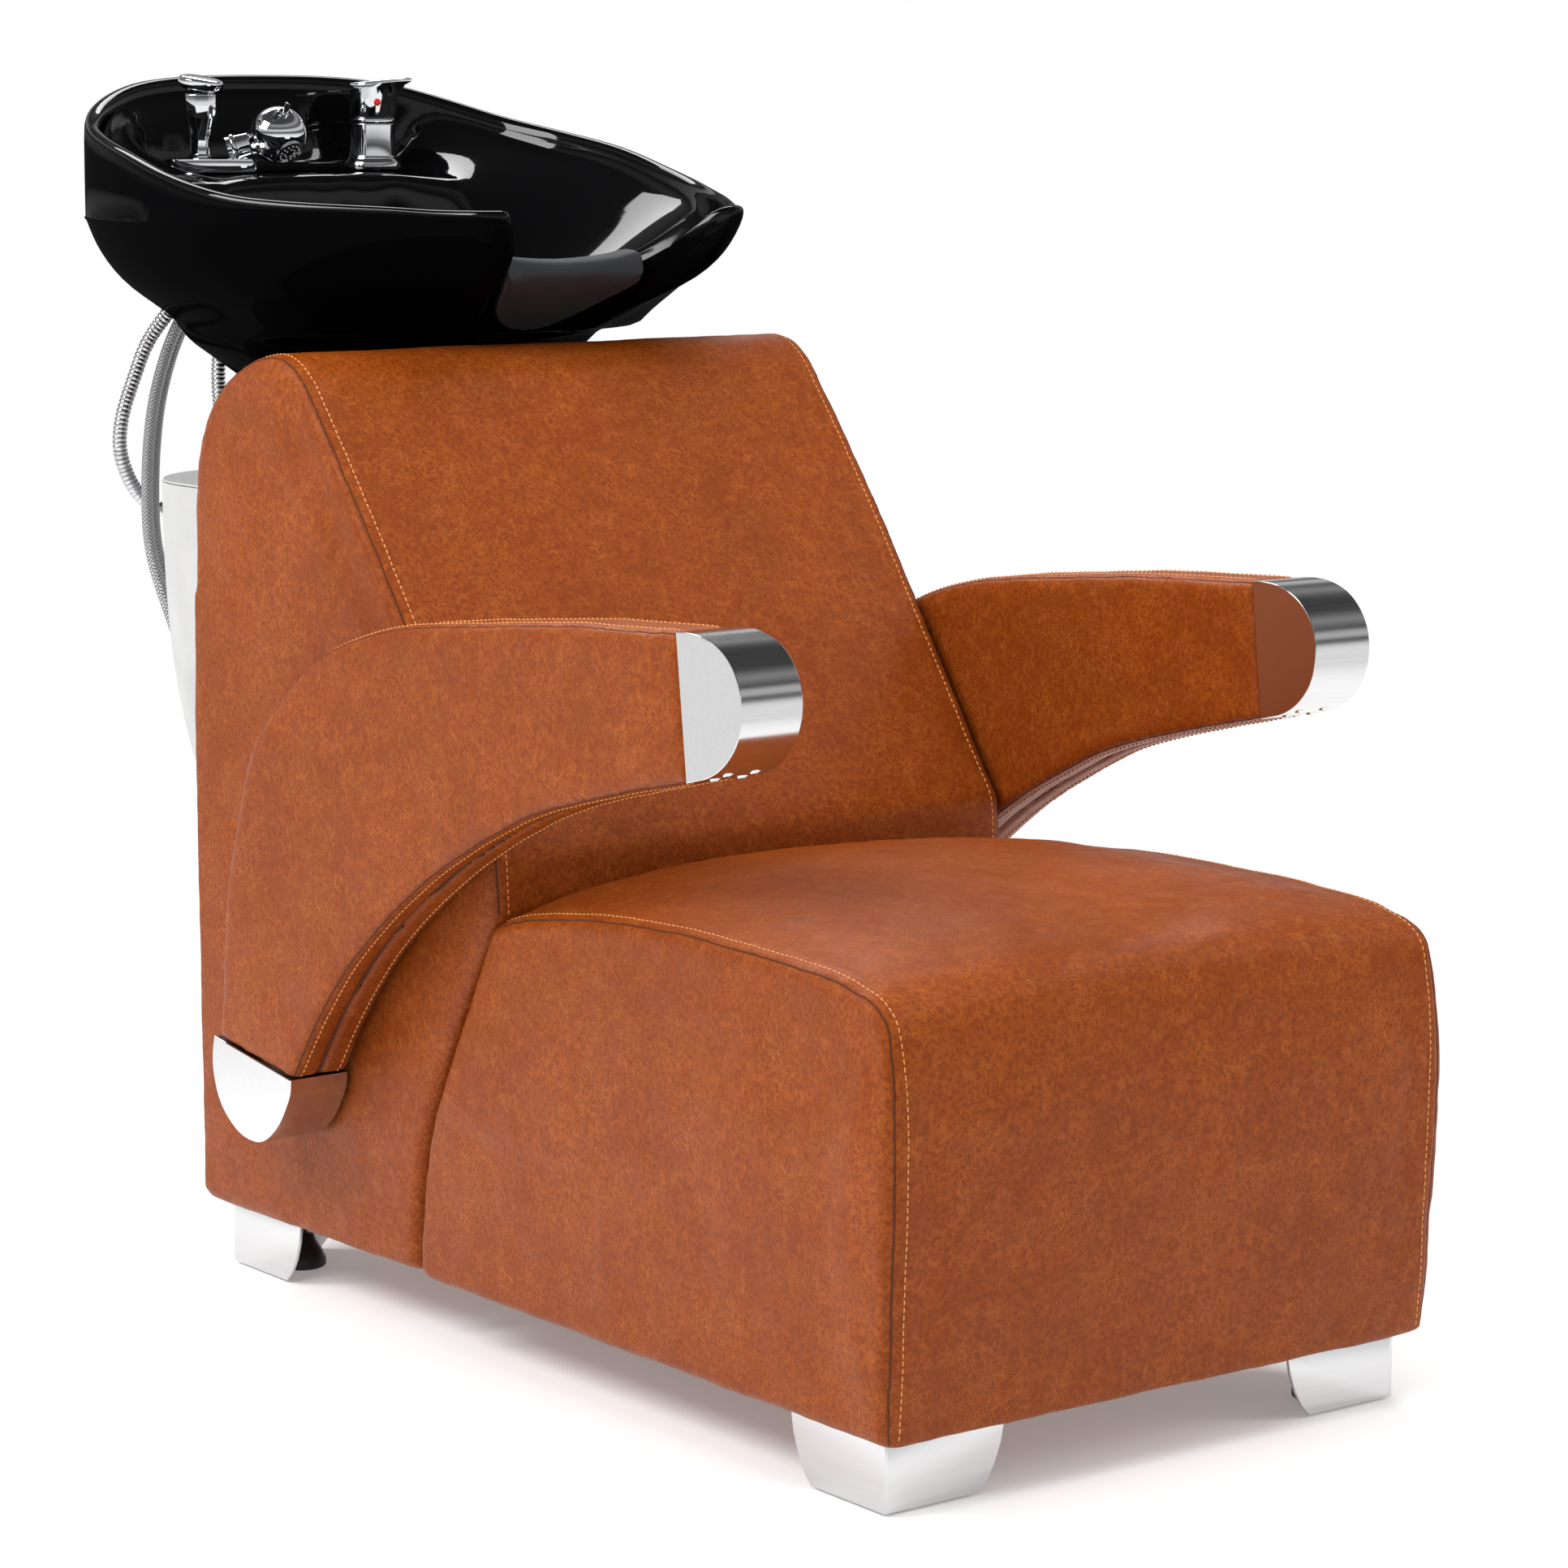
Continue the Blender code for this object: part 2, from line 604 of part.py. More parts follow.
# narrowing of the two front lobes below the rim, (z, share of X)
LOBE_X = [
    (0.829, 0.380), (0.842, 0.290), (0.863, 0.165), (0.8756, 0.115), (0.888, 0.105),
    (0.900, 0.100), (0.916, 0.080), (0.930, 0.055), (0.9395, 0.035), (1.10, 0.035),
]
# step back of the two front lobes, (z, distance in Y)
LOBE_Y = [
    (0.829, 0.066), (0.842, 0.055), (0.863, 0.037), (0.8756, 0.021), (0.888, 0.010),
    (0.900, 0.003), (0.910, 0.0), (1.10, 0.0),
]
# scale of the plan, (z, scale)
TAPER = [
    (0.762, 0.385), (0.766, 0.440), (0.776, 0.515), (0.799, 0.610), (0.815, 0.690),
    (0.841, 0.753), (0.854, 0.818), (0.872, 0.896), (0.890, 0.940), (0.905, 0.970),
    (0.918, 0.988), (OUTER_TOP, 1.0), (1.10, 1.0),
]
# underside rings: z, y of the front
BELLY_RINGS = [
    (BOWL_BOTTOM, 0.392), (0.7660, 0.384), (0.7760, 0.372), (0.7990, 0.357),
    (0.8140, 0.347), (0.8240, 0.325),
]
BELLY_HALF_X, BELLY_HALF_Y = 0.277, 0.27  # full-size half axes of the underside's front
# rings over the rim: scale about RIM_CENTRE, drop below the crest
RIM_RINGS = [
    (0.9955, 0.0018), (0.986, 0.0), (0.966, 0.0), (0.953, 0.0028), (0.946, RIM_INNER_DROP),
]
# By angle about the waste, in degrees, 0 at the back and 180 at the neck:
# radius and height of the tap deck's inner edge
DECK_EDGE = [
    (0, 0.080), (30, 0.0925), (50, 0.123), (70, 0.160), (86, 0.184), (100, 0.196),
    (130, 0.205), (180, 0.215),
]
DECK_EDGE_Z = [
    (0, 0.9622), (30, 0.9618), (50, 0.9580), (65, 0.9510), (80, 0.9420), (95, 0.9250),
    (120, 0.8950), (180, 0.8700),
]
# distance from the rim in to the outer side of the deck
DECK_MARGIN = [(0, 0.008), (60, 0.010), (85, 0.022), (100, 0.030), (180, 0.030)]
# share of the section with a deck, against the plain wall
DECK_SHARE = [(0, 1.0), (72, 1.0), (104, 0.0), (180, 0.0)]
NECK_ANGLE = 100  # beyond this the section is in the neck part
NECK_FLOOR = [(0.340, 0.8520), (0.395, 0.7870)]  # lowest inside surface, (y, z)
NECK_WALL = 0.0110  # least wall thickness under the neck
# plain wall: share of the reach to the rim, share of the height
WALL_START = (0.052, 0.018)  # radius in metres, share of the height
WALL = [
    (0.45, 0.13), (0.58, 0.25), (0.68, 0.38), (0.76, 0.50), (0.83, 0.62),
    (0.885, 0.72), (0.925, 0.80), (0.955, 0.87), (0.982, 0.935),
]
# pocket under the tap deck: z, half width, front y, rear y
POCKET = [
    (0.780, 0.160, 0.553, 0.607), (0.860, 0.156, 0.554, 0.610), (0.900, 0.148, 0.555, 0.636),
    (0.930, 0.140, 0.556, 0.638), (0.9545, 0.130, 0.557, 0.637),
]
TAP_HOLE_R = 0.0125


def plan_outline():
    """The basin's plan at full size, starting at the front centre, round by +X."""
    before, after = HALF_PLAN[1], HALF_PLAN[-2]
    ends = (Vector((-before[0], before[1])), Vector((-after[0], after[1])))
    half = spline(HALF_PLAN, PLAN_STEPS, ends)
    return half + [Vector((-p.x, p.y)) for p in reversed(half[1:-1])]


def rim_height(point):
    z = monotone(point.y, RIM_Z)
    if point.y < NOTCH_REAR_Y:
        z = min(z, monotone(abs(point.x), NOTCH_Z))
    return z


PLAN = plan_outline()
RIM = [rim_height(point) for point in PLAN]


def hull(point, z):
    """Outer face (x, y) of the basin at height z, for a point of the full-size plan."""
    scale = monotone(z, TAPER)
    x, y = point.x * scale, TAPER_Y + (point.y - TAPER_Y) * scale
    front = min(max((0.30 - y) / 0.20, 0.0), 1.0)
    front = front * front * (3 - 2 * front)
    return x * (1 - monotone(z, LOBE_X) * front), y + monotone(z, LOBE_Y) * front


def outer_ring(levels):
    return [(*hull(point, z), z) for point, z in zip(PLAN, levels)]


def belly_ring(z, front_y):
    """Underside: the scaled plan behind, an ellipse drawn in to `front_y` before it."""
    scale = monotone(z, TAPER)
    ring = []
    for point in PLAN:
        if point.y >= TAPER_Y:
            ring.append((point.x * scale, TAPER_Y + (point.y - TAPER_Y) * scale, z))
        else:
            angle = math.atan2((TAPER_Y - point.y) / BELLY_HALF_Y, abs(point.x) / BELLY_HALF_X)
            x = math.copysign(BELLY_HALF_X * scale * math.cos(angle), point.x)
            ring.append((x, TAPER_Y - (TAPER_Y - front_y) * math.sin(angle), z))
    return ring


def rim_ring(scale, drop):
    ring = []
    for point, crest in zip(PLAN, RIM):
        edge = Vector(hull(point, crest - RIM_EDGE_DROP))
        ring.append((*(RIM_CENTRE + (edge - RIM_CENTRE) * scale), crest - drop))
    return ring


def deck_section(angle, reach, top):
    """(radius, z) up from the waste, over the tap deck, towards the rim."""
    edge = monotone(angle, DECK_EDGE)
    edge_z = monotone(angle, DECK_EDGE_Z)
    outer = reach - monotone(angle, DECK_MARGIN)
    return [
        (edge * 0.60, 0.7895), (edge * 0.84, 0.8300), (edge * 0.95, 0.9050),
        (edge - 0.001, edge_z - 0.010), (edge + 0.006, edge_z + 0.0040),
        (edge + 0.014, edge_z + 0.0056), (outer - 0.007, edge_z + 0.0058),
        (outer, edge_z + 0.0095), (outer + 0.0045, edge_z + 0.0240),
        (reach - 0.0015, (top + edge_z) / 2 + 0.012),
    ]


def wall_section(reach, top):
    """(radius, z) up the plain wall of the bowl."""
    stations = [WALL_START] + [(reach * share, height) for share, height in WALL]
    return [(r, WASTE_SEAT_Z + (top - WASTE_SEAT_Z) * height) for r, height in stations]


def inside_column(plan_point, crest, edge):
    """Inner surface from the waste out to the rim's inner edge, for one plan point."""
    drain = Vector(DRAIN)
    spoke = edge - drain
    reach = spoke.length
    angle = math.degrees(math.atan2(abs(spoke.x), spoke.y))
    top = crest - RIM_INNER_DROP
    wall_top = min(monotone(edge.y, RIM_Z) - RIM_INNER_DROP, top)
    deck_share = monotone(angle, DECK_SHARE)
    column = []
    for deck, wall in zip(deck_section(angle, reach, top), wall_section(reach, wall_top)):
        radius = deck[0] * deck_share + wall[0] * (1 - deck_share)
        z = deck[1] * deck_share + wall[1] * (1 - deck_share)
        place = drain + spoke / reach * radius
        floor = monotone(place.y, NECK_FLOOR)
        if angle > NECK_ANGLE:
            floor = min(floor, top - 0.001)
        z = max(z, floor)
        if angle > NECK_ANGLE and z > 0.830:
            # the wall keeps its thickness where the outside slopes away under the neck
            limit = (Vector(hull(plan_point, z)) - drain).length - NECK_WALL
            place = drain + spoke / reach * min(radius, limit)
        column.append((place.x, place.y, z))
    return column


def pocket_shape():
    rings = []
    for z, half_x, front, rear in POCKET:
        middle, half_y = (front + rear) / 2, (rear - front) / 2
        ring = []
        for k in range(24):
            angle = 2 * math.pi * (k + 0.5) / 24
            c, s = math.cos(angle), math.sin(angle)
            ring.append((math.copysign(half_x, c) * abs(c) ** 0.35,
                         middle + math.copysign(half_y, s) * abs(s) ** 0.35, z))
        rings.append(ring)
    return loft(rings)


def bowl():
    outside = [belly_ring(z, front_y) for z, front_y in BELLY_RINGS]
    outside.append(outer_ring([BELLY_TOP] * len(PLAN)))
    for share in (0.10, 0.24, 0.40, 0.58, 0.76, 0.90):
        outside.append(outer_ring([
            BELLY_TOP + (min(crest, OUTER_TOP) - 0.010 - BELLY_TOP) * share for crest in RIM
        ]))
    outside.append(outer_ring([min(crest - 0.008, OUTER_TOP) for crest in RIM]))
    outside.append(outer_ring([crest - RIM_EDGE_DROP for crest in RIM]))
    rim = [rim_ring(scale, drop) for scale, drop in RIM_RINGS]
    edges = [Vector(point[:2]) for point in rim[-1]]
    columns = [inside_column(*station) for station in zip(PLAN, RIM, edges)]
    inside = [list(ring) for ring in zip(*columns)]
    inside.reverse()
    # the waste hole goes straight down to the underside
    angles = [math.atan2(edge.y - DRAIN[1], edge.x) for edge in edges]
    hole_low, hole_high = (
        [(WASTE_HOLE_R * math.cos(a), DRAIN[1] + WASTE_HOLE_R * math.sin(a), z) for a in angles]
        for z in (BOWL_BOTTOM, WASTE_SEAT_Z)
    )
    shape = loft([hole_low] + outside + rim + inside + [hole_high], closed=True)
    part = add("bowl", shape, "ceramic")
    cut(part, "cut_bowl_pocket", pocket_shape())
    for name, centre in (("mixer", MIXER_AT), ("breaker", BREAKER_AT)):
        cut(part, f"cut_bowl_{name}", cylinder(TAP_HOLE_R, 0.950, 0.990, 24, (*centre, 0.0)))


# ---------------------------------------------------------- basin fittings
# sections round the waste's axis, (radius, z)
FLANGE = [
    (0.0225, 0.7460), (0.0290, 0.7460), (0.0290, 0.7875), (0.0375, 0.7895),
    (0.0385, 0.7910), (0.0375, 0.7925), (0.0300, 0.7920), (0.0225, 0.7860),
]
STRAINER = [
    (0.0040, 0.7850), (0.0216, 0.7850), (0.0216, 0.7885), (0.0270, 0.7912),
    (0.0262, 0.7925), (0.0200, 0.7910), (0.0060, 0.7925), (0.0040, 0.7920),
]
GASKET = [(0.0330, 0.7575), (0.0500, 0.7575), (0.0500, 0.7617), (0.0330, 0.7617)]
WASTE_NUT = [(0.0298, 0.7465), (0.0400, 0.7465), (0.0400, 0.7510), (0.0298, 0.7510)]
WASTE_TAIL = [
    (0.0165, 0.6990), (0.0195, 0.6990), (0.0195, 0.7455), (0.0215, 0.7457),
    (0.0215, 0.7620), (0.0185, 0.7620), (0.0165, 0.7440),
]

HINGE_Y, HINGE_Z = HINGE[1:]
PIN_HOLE_R = 0.0053
LUG_X = (0.050, 0.056)  # inner and outer face of a lug under the basin
EAR_X = (0.0575, 0.0625)  # inner and outer face of an ear of the bracket
# outlines are (y, z)
LUG = [
    (HINGE_Y - 0.012, HINGE_Z), (HINGE_Y - 0.0085, HINGE_Z - 0.0085),
    (HINGE_Y, HINGE_Z - 0.012), (HINGE_Y + 0.0085, HINGE_Z - 0.0085),
    (HINGE_Y + 0.016, HINGE_Z + 0.004), (HINGE_Y + 0.030, 0.7540),
    (HINGE_Y - 0.0060, 0.7540), (HINGE_Y - 0.0110, HINGE_Z + 0.0060),
]
EAR = [
    (BACK_REAR_Y + 0.0010, 0.7050), (HINGE_Y + 0.004, HINGE_Z - 0.0130),
    (HINGE_Y + 0.0110, HINGE_Z - 0.0060), (HINGE_Y + 0.0120, HINGE_Z + 0.0020),
    (HINGE_Y + 0.0080, HINGE_Z + 0.0090), (HINGE_Y, HINGE_Z + 0.0120),
    (BACK_REAR_Y + 0.0010, 0.7560),
]
# radius, x
HINGE_PIN = [
    (0.0085, -0.0720), (0.0085, -0.0650), (0.0052, -0.0648), (0.0052, 0.0655), (0.0052, 0.0840),
]
LEVER_HUB = [(0.0056, 0.0660), (0.0120, 0.0660), (0.0120, 0.0800), (0.0056, 0.0800)]
# centre line of the lever's arm, from the hinge
LEVER_ARM = [(0.0730, 0.0100, 0.0), (0.0760, 0.0350, -0.0030), (0.0800, 0.0620, -0.0080)]
LEVER_ARM_R = 0.0055


def waste_set():
    def ring(profile, segments):
        return lathe(profile, segments, DRAIN_AT, closed=True)

    add("waste_flange", ring(FLANGE, 28), "chrome")
    add("strainer", ring(STRAINER, 28), "chrome", origin=(*DRAIN, STRAINER[0][1]))
    add("bowl_gasket", ring(GASKET, 28), "black_rubber")
    add("waste_nut", ring(WASTE_NUT, 24), "brass")
    add("waste_tail", ring(WASTE_TAIL, 24), "chrome")


def tilt_plate():
    """Plate under the basin, with two hinge lugs."""
    shape = box((-0.075, 0.3560, 0.7515), (0.075, 0.5000, 0.7572))
    plate = add("tilt_plate", shape, "frame_steel", smooth=False)
    for k, (_, side_x) in enumerate(SIDES):
        join(plate, f"join_lug_{k}", slab_x(LUG, side_x * LUG_X[0], side_x * LUG_X[1]))
    cut(plate, "cut_plate_waste", cylinder(0.0300, 0.70, 0.80, 28, DRAIN_AT))
    cut(plate, "cut_lug_pin", cylinder(PIN_HOLE_R, -0.1, 0.1, 24, HINGE, ALONG_X))


def bowl_bracket():
    """Bracket on the rear panel, with an ear outside each lug."""
    shape = box((-0.080, BACK_REAR_Y + 0.0005, 0.7000), (0.080, BACK_REAR_Y + 0.0045, 0.7700))
    bracket = add("bowl_bracket", shape, "frame_steel", smooth=False)
    for k, (_, side_x) in enumerate(SIDES):
        join(bracket, f"join_ear_{k}", slab_x(EAR, side_x * EAR_X[0], side_x * EAR_X[1]))
    cut(bracket, "cut_ear_pin", cylinder(PIN_HOLE_R, -0.1, 0.1, 24, HINGE, ALONG_X))


def hinge_pin_and_lever():
    """The pin and, on its right end, the lever that locks the tilt."""
    add("hinge_pin", lathe(HINGE_PIN, 24, HINGE, ALONG_X), "stainless")
    hub_shape = lathe(LEVER_HUB, 20, HINGE, ALONG_X, closed=True)
    hub = add("tilt_lock_lever", hub_shape, "black_plastic", origin=HINGE)
    arm = join(hub, "join_lever", sweep([Vector(p) for p in LEVER_ARM], LEVER_ARM_R, 12))
    arm.location = HINGE


# --------------------------------------------------------------- neck rest
NECK_REST_HALF = 0.0735
NECK_REST_STATIONS = 19
NECK_REST_THICKNESS = 0.0110
# right half of the basin's front, from the centre round the tip of the lobe
FRONT_PLAN = PLAN[:sum(PLAN_STEPS[:7])]


def front_y(x, z):
    """Front outer face of the basin at a given x and z."""
    return linear(abs(x), [hull(point, z) for point in FRONT_PLAN])


def neck_rest_section(x):
    """Section at x: up the outside of the basin's front, the flap, and over the lip."""
    lip_line = [
        (*hull(point, crest - RIM_EDGE_DROP), crest) for point, crest in zip(FRONT_PLAN, RIM)
    ]
    lip_y = linear(abs(x), [(lip_x, y) for lip_x, y, _ in lip_line])
    lip = linear(abs(x), [(lip_x, z) for lip_x, _, z in lip_line])
    u = abs(x) / NECK_REST_HALF
    thick = NECK_REST_THICKNESS * (1.0 - 0.30 * max(0.0, (u - 0.8) / 0.2) ** 2)
    crown = lip + 0.0030 + thick + 0.0050 * u * u
    low = 0.8335 + 0.0460 * u**2.2  # lower edge of the flap
    gap = 0.0030 + 0.0022 * u**4
    inner_y = RIM_CENTRE.y - 0.925 * (RIM_CENTRE.y - lip_y)
    middle_y = (lip_y + inner_y) / 2
    edge_z = lip - RIM_EDGE_DROP
    bend = lip - 0.0105
    drop = bend - low - 0.0040

    # face towards the basin, downwards
    section = []
    for z in (lip - 0.0015, lip - 0.0062, lip - 0.0080, bend, bend - drop * 0.28,
              bend - drop * 0.62, low + 0.0040):
        section.append((front_y(x, min(z, edge_z)) - gap, z))
    # lower edge
    foot_y = front_y(x, low + 0.004) - gap
    section += [(foot_y - 0.0025, low), (foot_y - 0.0065, low + 0.0005)]
    # outer face, upwards
    for k in range(3):
        z = low + 0.0060 + (lip - 0.004 - low - 0.0060) * k / 2
        bulge = thick * (0.75 + 0.25 * k / 2)
        section.append((front_y(x, min(z, edge_z)) - gap - bulge, z))
    # over the lip and back underneath
    section += [
        (lip_y - 0.0030 - thick, crown - 0.0065),
        (lip_y - 0.0005 - thick * 0.5, crown - 0.0015),
        (middle_y + 0.002, crown),
        (inner_y + 0.006, crown - 0.0015),
        (inner_y + 0.0035 + thick, crown - 0.0080),
        (inner_y + 0.0035 + thick, lip + 0.0030),
        (inner_y + 0.0030, lip + 0.0022),
        (middle_y, lip + 0.0024),
        (lip_y - 0.0010, lip + 0.0022),
    ]
    return [(x, y, z) for y, z in section]


def neck_rest():
    """A soft saddle over the basin's neck notch, with a flap that hangs down outside."""
    last = NECK_REST_STATIONS - 1
    sections = [
        neck_rest_section(-NECK_REST_HALF + 2 * NECK_REST_HALF * k / last)
        for k in range(NECK_REST_STATIONS)
    ]
    add("neck_rest", loft(sections), "neck_rubber")


# ------------------------------------------------------------------- mixer
MIXER_FOOT = (*MIXER_AT, DECK_Z + 0.0012)
# profiles are (radius, height above MIXER_FOOT)
MIXER_BODY = [
    (0.0105, -0.0290), (0.0105, -0.0002), (0.0274, 0.0), (0.0284, 0.0030), (0.0272, 0.0070),
    (0.0236, 0.0100), (0.0236, 0.0115), (0.0226, 0.0125), (0.0215, 0.0300), (0.0211, 0.0420),
    (0.0211, 0.0435),
]
MIXER_COLLAR = [(0.0200, 0.0439), (0.0219, 0.0443), (0.0219, 0.0480), (0.0200, 0.0484)]
MIXER_CARTRIDGE = [(0.0110, 0.0488), (0.0110, 0.0560), (0.0045, 0.0564), (0.0045, 0.0610)]
MIXER_NUT = [(0.0109, 0.9465), (0.0165, 0.9465), (0.0165, 0.9540), (0.0109, 0.9540)]  # world z
# lever cap: radius, reach of the paddle, height
MIXER_LEVER = [
    (0.0214, 0.0214, 0.0490), (0.0220, 0.0222, 0.0510), (0.0220, 0.0240, 0.0680),
    (0.0222, 0.0315, 0.0775), (0.0222, 0.0385, 0.0812), (0.0214, 0.0385, 0.0838),
    (0.0180, 0.0350, 0.0845),
]
PADDLE_DIRECTION = Vector((0.80, -0.60))
BUTTON_DIRECTION = Vector((-0.35, -0.94, 0.0)).normalized()
BUTTON = [(0.0034, 0.0004), (0.0034, 0.0012), (0.0024, 0.0018)]  # radius, height


def above_mixer_foot(height):
    x, y, z = MIXER_FOOT
    return (x, y, z + height)


def mixer_lever():
    """Lever cap: round over the body, drawn out into a short flat paddle."""
    foot_x, foot_y, foot_z = MIXER_FOOT
    rings = []
    for level, (radius, reach, height) in enumerate(MIXER_LEVER):
        ring = []
        for k in range(32):
            angle = 2 * math.pi * k / 32
            direction = Vector((math.cos(angle), math.sin(angle)))
            facing = direction.dot(PADDLE_DIRECTION)
            paddle = max(0.0, facing) ** 2
            r = radius + (reach - radius) * paddle
            # the upper rings rise towards the paddle's tip
            rise = 0.0010 * paddle + 0.0018 * facing if level > 2 else 0.0
            ring.append((foot_x + direction.x * r, foot_y + direction.y * r,
                         foot_z + height + rise))
        rings.append(ring)
    lever = add("mixer_lever", loft(rings), "chrome", origin=above_mixer_foot(0.0600))
    cut(lever, "cut_lever", cylinder(0.0165, 0.0400, 0.0640, 24, MIXER_FOOT))


def mixer():
    add("mixer_body", lathe(MIXER_BODY, 32, MIXER_FOOT), "chrome")
    add("mixer_collar", lathe(MIXER_COLLAR, 32, MIXER_FOOT), "chrome",
        origin=above_mixer_foot(MIXER_COLLAR[0][1]))
    add("mixer_cartridge", lathe(MIXER_CARTRIDGE, 24, MIXER_FOOT), "brass",
        origin=above_mixer_foot(MIXER_CARTRIDGE[0][1]))
    mixer_lever()
    button_at = Vector(above_mixer_foot(0.0640)) + BUTTON_DIRECTION * 0.0222
    add("temperature_button", lathe(BUTTON, 16, button_at, BUTTON_DIRECTION), "mark_red")
    add("mixer_nut", lathe(MIXER_NUT, 24, (*MIXER_AT, 0.0), closed=True), "brass")


# ---------------------------------------------- vacuum breaker and hand spray
BASE_CENTRE = (-0.0935, 0.6005)
BASE_HALF = (0.0425, 0.0220)  # half length and half width
BASE_TURN = math.radians(-30)
BASE_POWER = 3.2  # exponent of the base's superellipse
# scale of the outline, height above the deck
BASE_RINGS = [(0.985, 0.0004), (1.0, 0.0014), (1.0, 0.0110), (0.985, 0.0128), (0.93, 0.0135)]
BREAKER_FOOT = (*BREAKER_AT, DECK_Z + 0.0139)
# profiles are (radius, height)
BREAKER = [
    (0.0120, 0.0), (0.0120, 0.0018), (0.0098, 0.0030), (0.0098, 0.0240),
    (0.0148, 0.0365), (0.0154, 0.0385), (0.0154, 0.0585), (0.0142, 0.0600),
]
BREAKER_CAP_RISE = 0.0632
BREAKER_CAP_AXIS = (0.10, -0.16, 0.98)
BREAKER_CAP = [
    (0.0165, 0.0), (0.0205, 0.0022), (0.0212, 0.0050), (0.0212, 0.0092), (0.0200, 0.0110),
    (0.0150, 0.0124),
]

HEAD_CENTRE = Vector((-0.0350, 0.5750, 1.0030))  # centre of the spray head's ball
HEAD_R = 0.0270
SOCKET_AXIS = Vector((0.86, -0.44, 0.26)).normalized()  # the spray lifts along this
BOSS_TOP = -0.0464  # heights along the socket axis are from the ball's centre
SOCKET = [
    (0.0080, -0.0460), (0.0122, -0.0460), (0.0128, -0.0450), (0.0128, -0.0428),
    (0.0112, -0.0415), (0.0108, -0.0400), (0.0102, -0.0300), (0.0102, -0.0288),
    (0.0080, -0.0288),
]
HEAD_NECK = [(0.0066, -0.0450), (0.0070, -0.0440), (0.0070, -0.0285), (0.0105, -0.0276)]
FACE_DIRECTION = Vector((0.10, -0.55, -0.62)).normalized()
SPRAY_FACE = [(0.0140, 0.0207), (0.0140, 0.0222), (0.0120, 0.0232)]
SLOT_DIRECTION = Vector((-0.24, -0.61, 0.75)).normalized()
SLOT_LEAN = Vector((0.484, -0.205, 0.850))  # the slot runs along this, across its direction
SLOT_HALF = (0.0125, 0.0062)
# side of the thumb lever: place along the slot, height from the ball's centre
THUMB_LEVER = [
    (-0.0112, 0.0162), (-0.0085, 0.0160), (0.0085, 0.0186), (0.0105, 0.0330),
    (0.0088, 0.0338), (0.0062, 0.0212), (-0.0085, 0.0186), (-0.0112, 0.0184),
]
THUMB_LEVER_HALF = 0.0026
THUMB_LEVER_PIVOT = (-0.0100, 0.0, 0.0173)


def fitting_base():
    """Plate on the deck, shared by the vacuum breaker and the spray socket."""
    outline = []
    for k in range(28):
        angle = 2 * math.pi * k / 28
        c, s = math.cos(angle), math.sin(angle)
        r = (abs(c) ** BASE_POWER + abs(s) ** BASE_POWER) ** (-1 / BASE_POWER)
        outline.append((c * r * BASE_HALF[0], s * r * BASE_HALF[1]))
    turn_c, turn_s = math.cos(BASE_TURN), math.sin(BASE_TURN)
    rings = [
        [(BASE_CENTRE[0] + scale * (u * turn_c - v * turn_s),
          BASE_CENTRE[1] + scale * (u * turn_s + v * turn_c), DECK_Z + height)
         for u, v in outline]
        for scale, height in BASE_RINGS
    ]
    base = add("fitting_base", loft(rings), "chrome")
    boss = lathe([(0.0118, -0.0505), (0.0122, BOSS_TOP)], 24, HEAD_CENTRE, SOCKET_AXIS)
    join(base, "join_base_boss", boss)
    cut(base, "cut_base_socket", cylinder(0.0150, BOSS_TOP, 0.0, 24, HEAD_CENTRE, SOCKET_AXIS))


def vacuum_breaker():
    add("vacuum_breaker", lathe(BREAKER, 8, BREAKER_FOOT), "chrome", smooth=False)
    x, y, z = BREAKER_FOOT
    cap = lathe(BREAKER_CAP, 32, (x, y, z + BREAKER_CAP_RISE), BREAKER_CAP_AXIS)
    add("breaker_cap", cap, "chrome")


def hand_spray():
    """A ball with a neck that sits in the socket, a spray face and a thumb lever."""
    add("spray_socket", lathe(SOCKET, 24, HEAD_CENTRE, SOCKET_AXIS, closed=True), "chrome")
    profile = list(HEAD_NECK)
    for k in range(8):
        angle = math.radians(-62 + 19 * k)
        profile.append((HEAD_R * math.cos(angle), HEAD_R * math.sin(angle)))
    profile.append((0.0022, HEAD_R))
    head = add("spray_head", lathe(profile, 28, HEAD_CENTRE, SOCKET_AXIS), "chrome",
               origin=HEAD_CENTRE)
    cut(head, "cut_spray_face",
        cylinder(0.0300, 0.0205, 0.0400, 32, HEAD_CENTRE, FACE_DIRECTION))
    add("spray_face", lathe(SPRAY_FACE, 28, HEAD_CENTRE, FACE_DIRECTION), "chrome",
        origin=HEAD_CENTRE)

    # slot in the ball's crown, and the thumb lever in it
    along = (SLOT_LEAN - SLOT_DIRECTION * SLOT_LEAN.dot(SLOT_DIRECTION)).normalized()
    side = SLOT_DIRECTION.cross(along)
    turn = Matrix((along, side, SLOT_DIRECTION)).transposed().to_4x4()
    place = Matrix.Translation(HEAD_CENTRE) @ turn
    outline = []
    for k in range(20):
        angle = 2 * math.pi * k / 20
        s = math.sin(angle)
        outline.append((SLOT_HALF[0] * math.cos(angle),
                        SLOT_HALF[1] * math.copysign(abs(s) ** 0.7, s)))
    slot = loft([[(u, v, height) for u, v in outline] for height in (0.0150, 0.0400)])
    slot.transform(place)
    cut(head, "cut_spray_slot", slot)
    lever = loft([
        [(u, v, height) for u, height in THUMB_LEVER]
        for v in (-THUMB_LEVER_HALF, THUMB_LEVER_HALF)
    ])
    lever.transform(place)
    add("spray_lever", lever, "chrome", origin=place @ Vector(THUMB_LEVER_PIVOT))


